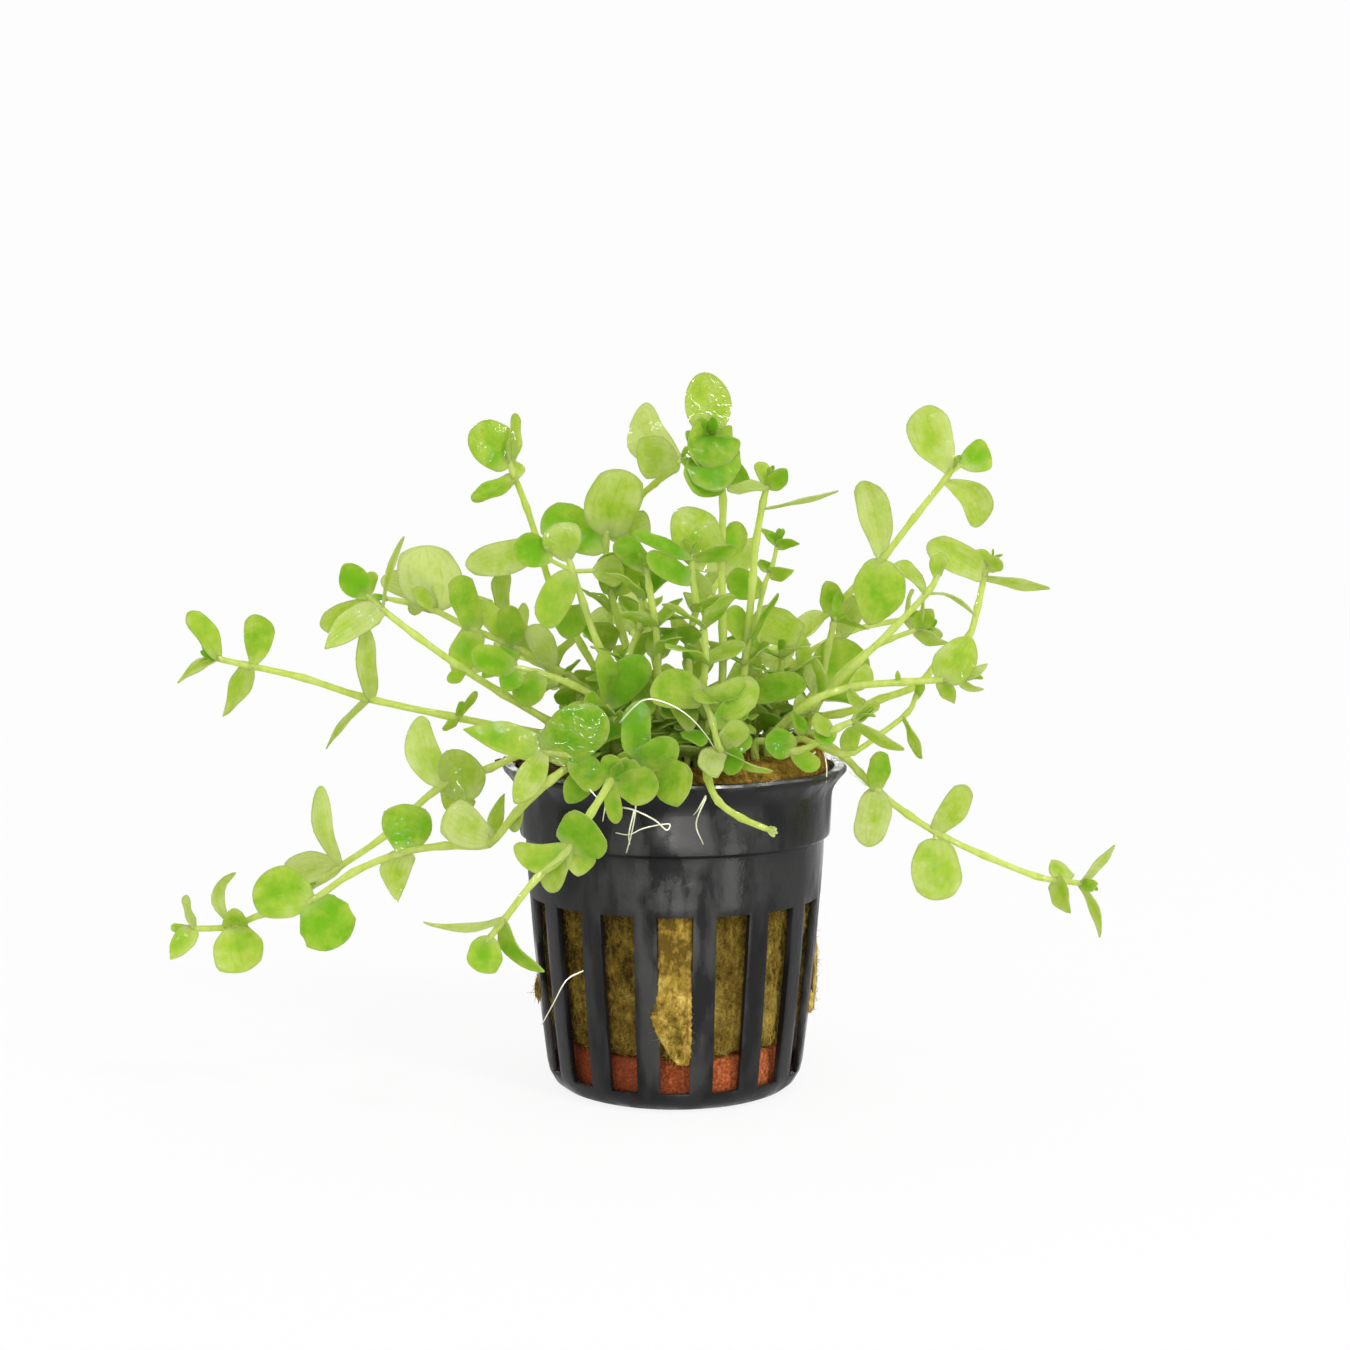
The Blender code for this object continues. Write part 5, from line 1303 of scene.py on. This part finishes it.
def looseHairs(loose, material):
    tree = treeOf(loose)
    draw = random.Random(seeds["hairs"])
    strands = []
    spots = [looseForm["flapSpot"]] * looseForm["flapShare"]
    spots += [(azimuth, height, looseForm["tuftReach"]) for azimuth, height, _ in looseForm["tufts"]]
    gather = looseForm["hairGather"]
    for _ in range(looseForm["hairs"]):
        azimuth, height, reach = draw.choice(spots)
        angle = math.radians(azimuth - 90 + draw.gauss(0, looseForm["hairSpread"]))
        hit, normal = castInward(tree, angle, (height + draw.gauss(0, reach / gather)) * mm)
        if hit is None:
            continue
        way = normal.orthogonal().normalized().lerp(normal, draw.uniform(*looseForm["hairLift"]))
        way.rotate(Quaternion(normal, draw.uniform(0, math.tau)))
        length = draw.uniform(*looseForm["hairLength"]) * mm
        sag = draw.uniform(*looseForm["hairSag"]) * length
        side = normal.cross(way)
        strands.append([(hit + way * length * t + side * sag * t * t, 1 - looseForm["hairThin"] * t)
                        for t in looseForm["hairSteps"]])
    bm = strandCurve("looseHairs", strands, fibreForm["radius"])
    return finishPiece(bm, "woolHairs", material)


# the roots, as seen from the front (across, up, depth) in mm

rootForm = {
    "radius": 0.13 * mm, "taper": 0.45, "steps": 5, "clouds": (500, 3), "roughness": 0.4,
    "bump": (0.1 * mm, 0.5),
    "shades": [(0.35, (0.55, 0.55, 0.33)), (0.65, (0.82, 0.83, 0.66))],
    "paths": [
        [(-8.4, 55.4, -24), (-6, 58, -27), (-4, 59, -28), (-1, 58.3, -28.5), (2, 56.5, -28),
         (4.5, 53.8, -27), (6, 51.5, -25)],
        [(-13, 45.3, -28), (-11.7, 43.8, -29)],
        [(-10.5, 43, -29), (-11, 40.3, -29)],
        [(-6, 45, -27), (-6, 42, -28.5), (-6.6, 38.5, -28), (-7.4, 35.5, -27)],
        [(-6.2, 42, -28.5), (-7, 38.5, -28.3), (-6.9, 36.8, -27.5)],
        [(-8, 42.5, -28), (-6, 42, -28.6), (-3, 40.5, -28.6), (-1.3, 39, -28.2), (-0.8, 39.9, -28),
         (-2.5, 39.8, -28), (-5, 39.2, -28.4), (-7, 38.3, -28.2), (-9, 38.6, -27.6)],
        [(4.7, 44.3, -28), (3.5, 42.2, -28), (2.8, 41.3, -27)],
        [(4.7, 44, -28.2), (3.2, 40, -28), (4.3, 36.8, -26.5)],
        [(21.3, 51, -12), (20, 49.7, -13), (18.5, 48.7, -14)],
        [(22.6, 51, -12), (23, 48.5, -13), (22.9, 46.3, -13.4)],
        [(26.5, 48, -8), (29, 45.8, -8)],
        [(-14, 17.3, -18.5), (-16.6, 15.8, -19.4), (-18.6, 12.2, -18.6), (-20.4, 8.9, -16.5)],
    ],
}


def rootMaterial():
    paint = Paint("rootPale")
    cloud = paint.noise(*rootForm["clouds"])
    paint.surface({"Base Color": paint.ramp(cloud, rootForm["shades"]), "Roughness": rootForm["roughness"]})
    paint.bump(cloud, *rootForm["bump"])
    return paint.material


def rootPiece():
    strands = []
    thinning = rootForm["taper"]
    for path in rootForm["paths"]:
        places = smoothPath([seen(*point) for point in path], rootForm["steps"])
        strands.append([(place, 1 - thinning * number / (len(places) - 1))
                        for number, place in enumerate(places)])
    bm = strandCurve("roots", strands, rootForm["radius"])
    return finishPiece(bm, "roots", rootMaterial())


# the studio

studio = {
    "floor": 3.0, "floorShade": 0.1, "floorGlow": 0.88, "floorRoughness": 0.8, "paper": 0.982,
    # azimuths and heights in degrees, 0 is in front of the pot
    "sun": 0.8, "sunAngle": 9, "sunWay": (38, 42),
    "boxPower": 0.7, "boxSize": (0.12, 0.4), "boxAzimuth": 40, "boxDistance": 0.55, "boxHeight": 0.2,
    "boxTarget": (0, 0, 0.04),
    "fillPower": 1.7, "fillSize": 0.5, "fillPlace": (-0.12, -0.75, 0.24), "fillTarget": (0, 0, 0.06),
    # lights that show only in the gloss, as (place, target, width, height, radiance): one beside the pot,
    # one for the topmost leaf, and small ones all round
    "potGlint": ((0.052, -0.066, 0.014), (0, 0, 0.03), 0.022, 0.034, 5),
    "leafGlint": ((0.004, -0.3, 0.055), (0.004, -0.007, 0.103), 0.16, 0.1, 50),
    "glints": [(-70, 25), (-45, 50), (-26, 34), (-12, 70), (0, 30), (24, 38), (45, 60), (60, 30), (110, 50),
               (180, 35), (-130, 40)],
    "glintDistance": 0.6, "glintMiddle": 0.06, "glintSize": 0.18, "glintRadiance": 75,
    "glintTint": (1, 0.99, 0.93),
}


def skyWay(azimuth, height):
    turn, rise = math.radians(azimuth), math.radians(height)
    return Vector((math.cos(rise) * math.sin(turn), -math.cos(rise) * math.cos(turn), math.sin(rise)))


def addLamp(name, kind, place, target, energy, **settings):
    lamp = bpy.data.lights.new(name, kind)
    lamp.energy = energy
    for key, value in settings.items():
        setattr(lamp, key, value)
    made = addObject(name, lamp)
    made.location = place
    made.rotation_mode = "QUATERNION"
    made.rotation_quaternion = (Vector(target) - made.location).to_track_quat("-Z", "Y")
    return made


def addFloor():
    bm = bmesh.new()
    bmesh.ops.create_grid(bm, x_segments=1, y_segments=1, size=studio["floor"])
    floor = addObject("floor", meshFrom(bm, "floor"))
    paint = Paint("floorWhite")
    paint.surface({
        "Base Color": (studio["floorShade"],) * 3, "Emission Color": (studio["paper"],) * 3,
        "Emission Strength": studio["floorGlow"], "Specular IOR Level": 0,
        "Roughness": studio["floorRoughness"],
    })
    floor.data.materials.append(paint.material)


def addLights():
    addLamp("sun", "SUN", skyWay(*studio["sunWay"]), (0, 0, 0), studio["sun"],
            angle=math.radians(studio["sunAngle"]))
    azimuth = math.radians(studio["boxAzimuth"])
    place = (studio["boxDistance"] * math.sin(azimuth), -studio["boxDistance"] * math.cos(azimuth),
             studio["boxHeight"])
    width, height = studio["boxSize"]
    addLamp("box", "AREA", place, studio["boxTarget"], studio["boxPower"], shape="RECTANGLE", size=width,
            size_y=height)
    fill = addLamp("fill", "AREA", studio["fillPlace"], studio["fillTarget"], studio["fillPower"],
                   size=studio["fillSize"])
    fill.visible_glossy = fill.visible_camera = False
    middle = raised(studio["glintMiddle"])
    size = studio["glintSize"]
    glints = [studio["potGlint"], studio["leafGlint"]]
    glints += [(skyWay(*way) * studio["glintDistance"] + middle, middle, size, size, studio["glintRadiance"])
               for way in studio["glints"]]
    for place, target, width, height, radiance in glints:
        glint = addLamp("glint", "AREA", place, target, radiance * math.pi * width * height, shape="ELLIPSE",
                        size=width, size_y=height, color=studio["glintTint"])
        glint.visible_diffuse = glint.visible_transmission = glint.visible_camera = False


def buildStudio():
    addFloor()
    world = bpy.data.worlds.new("studio")
    world.use_nodes = True
    background = world.node_tree.nodes["Background"]
    background.inputs["Color"].default_value = (1, 1, 1, 1)
    background.inputs["Strength"].default_value = studio["paper"]
    bpy.context.scene.world = world
    addLights()
    lens = bpy.data.cameras.new("camera")
    lens.lens = view["lens"]
    lens.sensor_width = view["sensor"]
    lens.clip_start = view["near"]
    camera = addObject("camera", lens)
    camera.location = view["eye"]
    camera.rotation_euler = (math.radians(90 - view["pitchDown"]), 0, 0)
    bpy.context.scene.camera = camera
    bpy.context.scene.view_settings.view_transform = "Standard"


buildStudio()
print("studio ready")
grown = grow()
print("places found for", sum(len(one["blades"]) for one in grown), "leaves")
green = plantMaterial()
for number, shoot in enumerate(grown):
    shootPiece(shoot, number, green)
undergrowthPiece(green)
print("shoots made")
potPiece()
clayPiece()
fibres = fibrePiece(woolPiece())
looseHairs(loosePiece(woolMaterial("woolPale")), fibres.data.materials[0])
rootPiece()
print("pot, clay, wool and roots made")
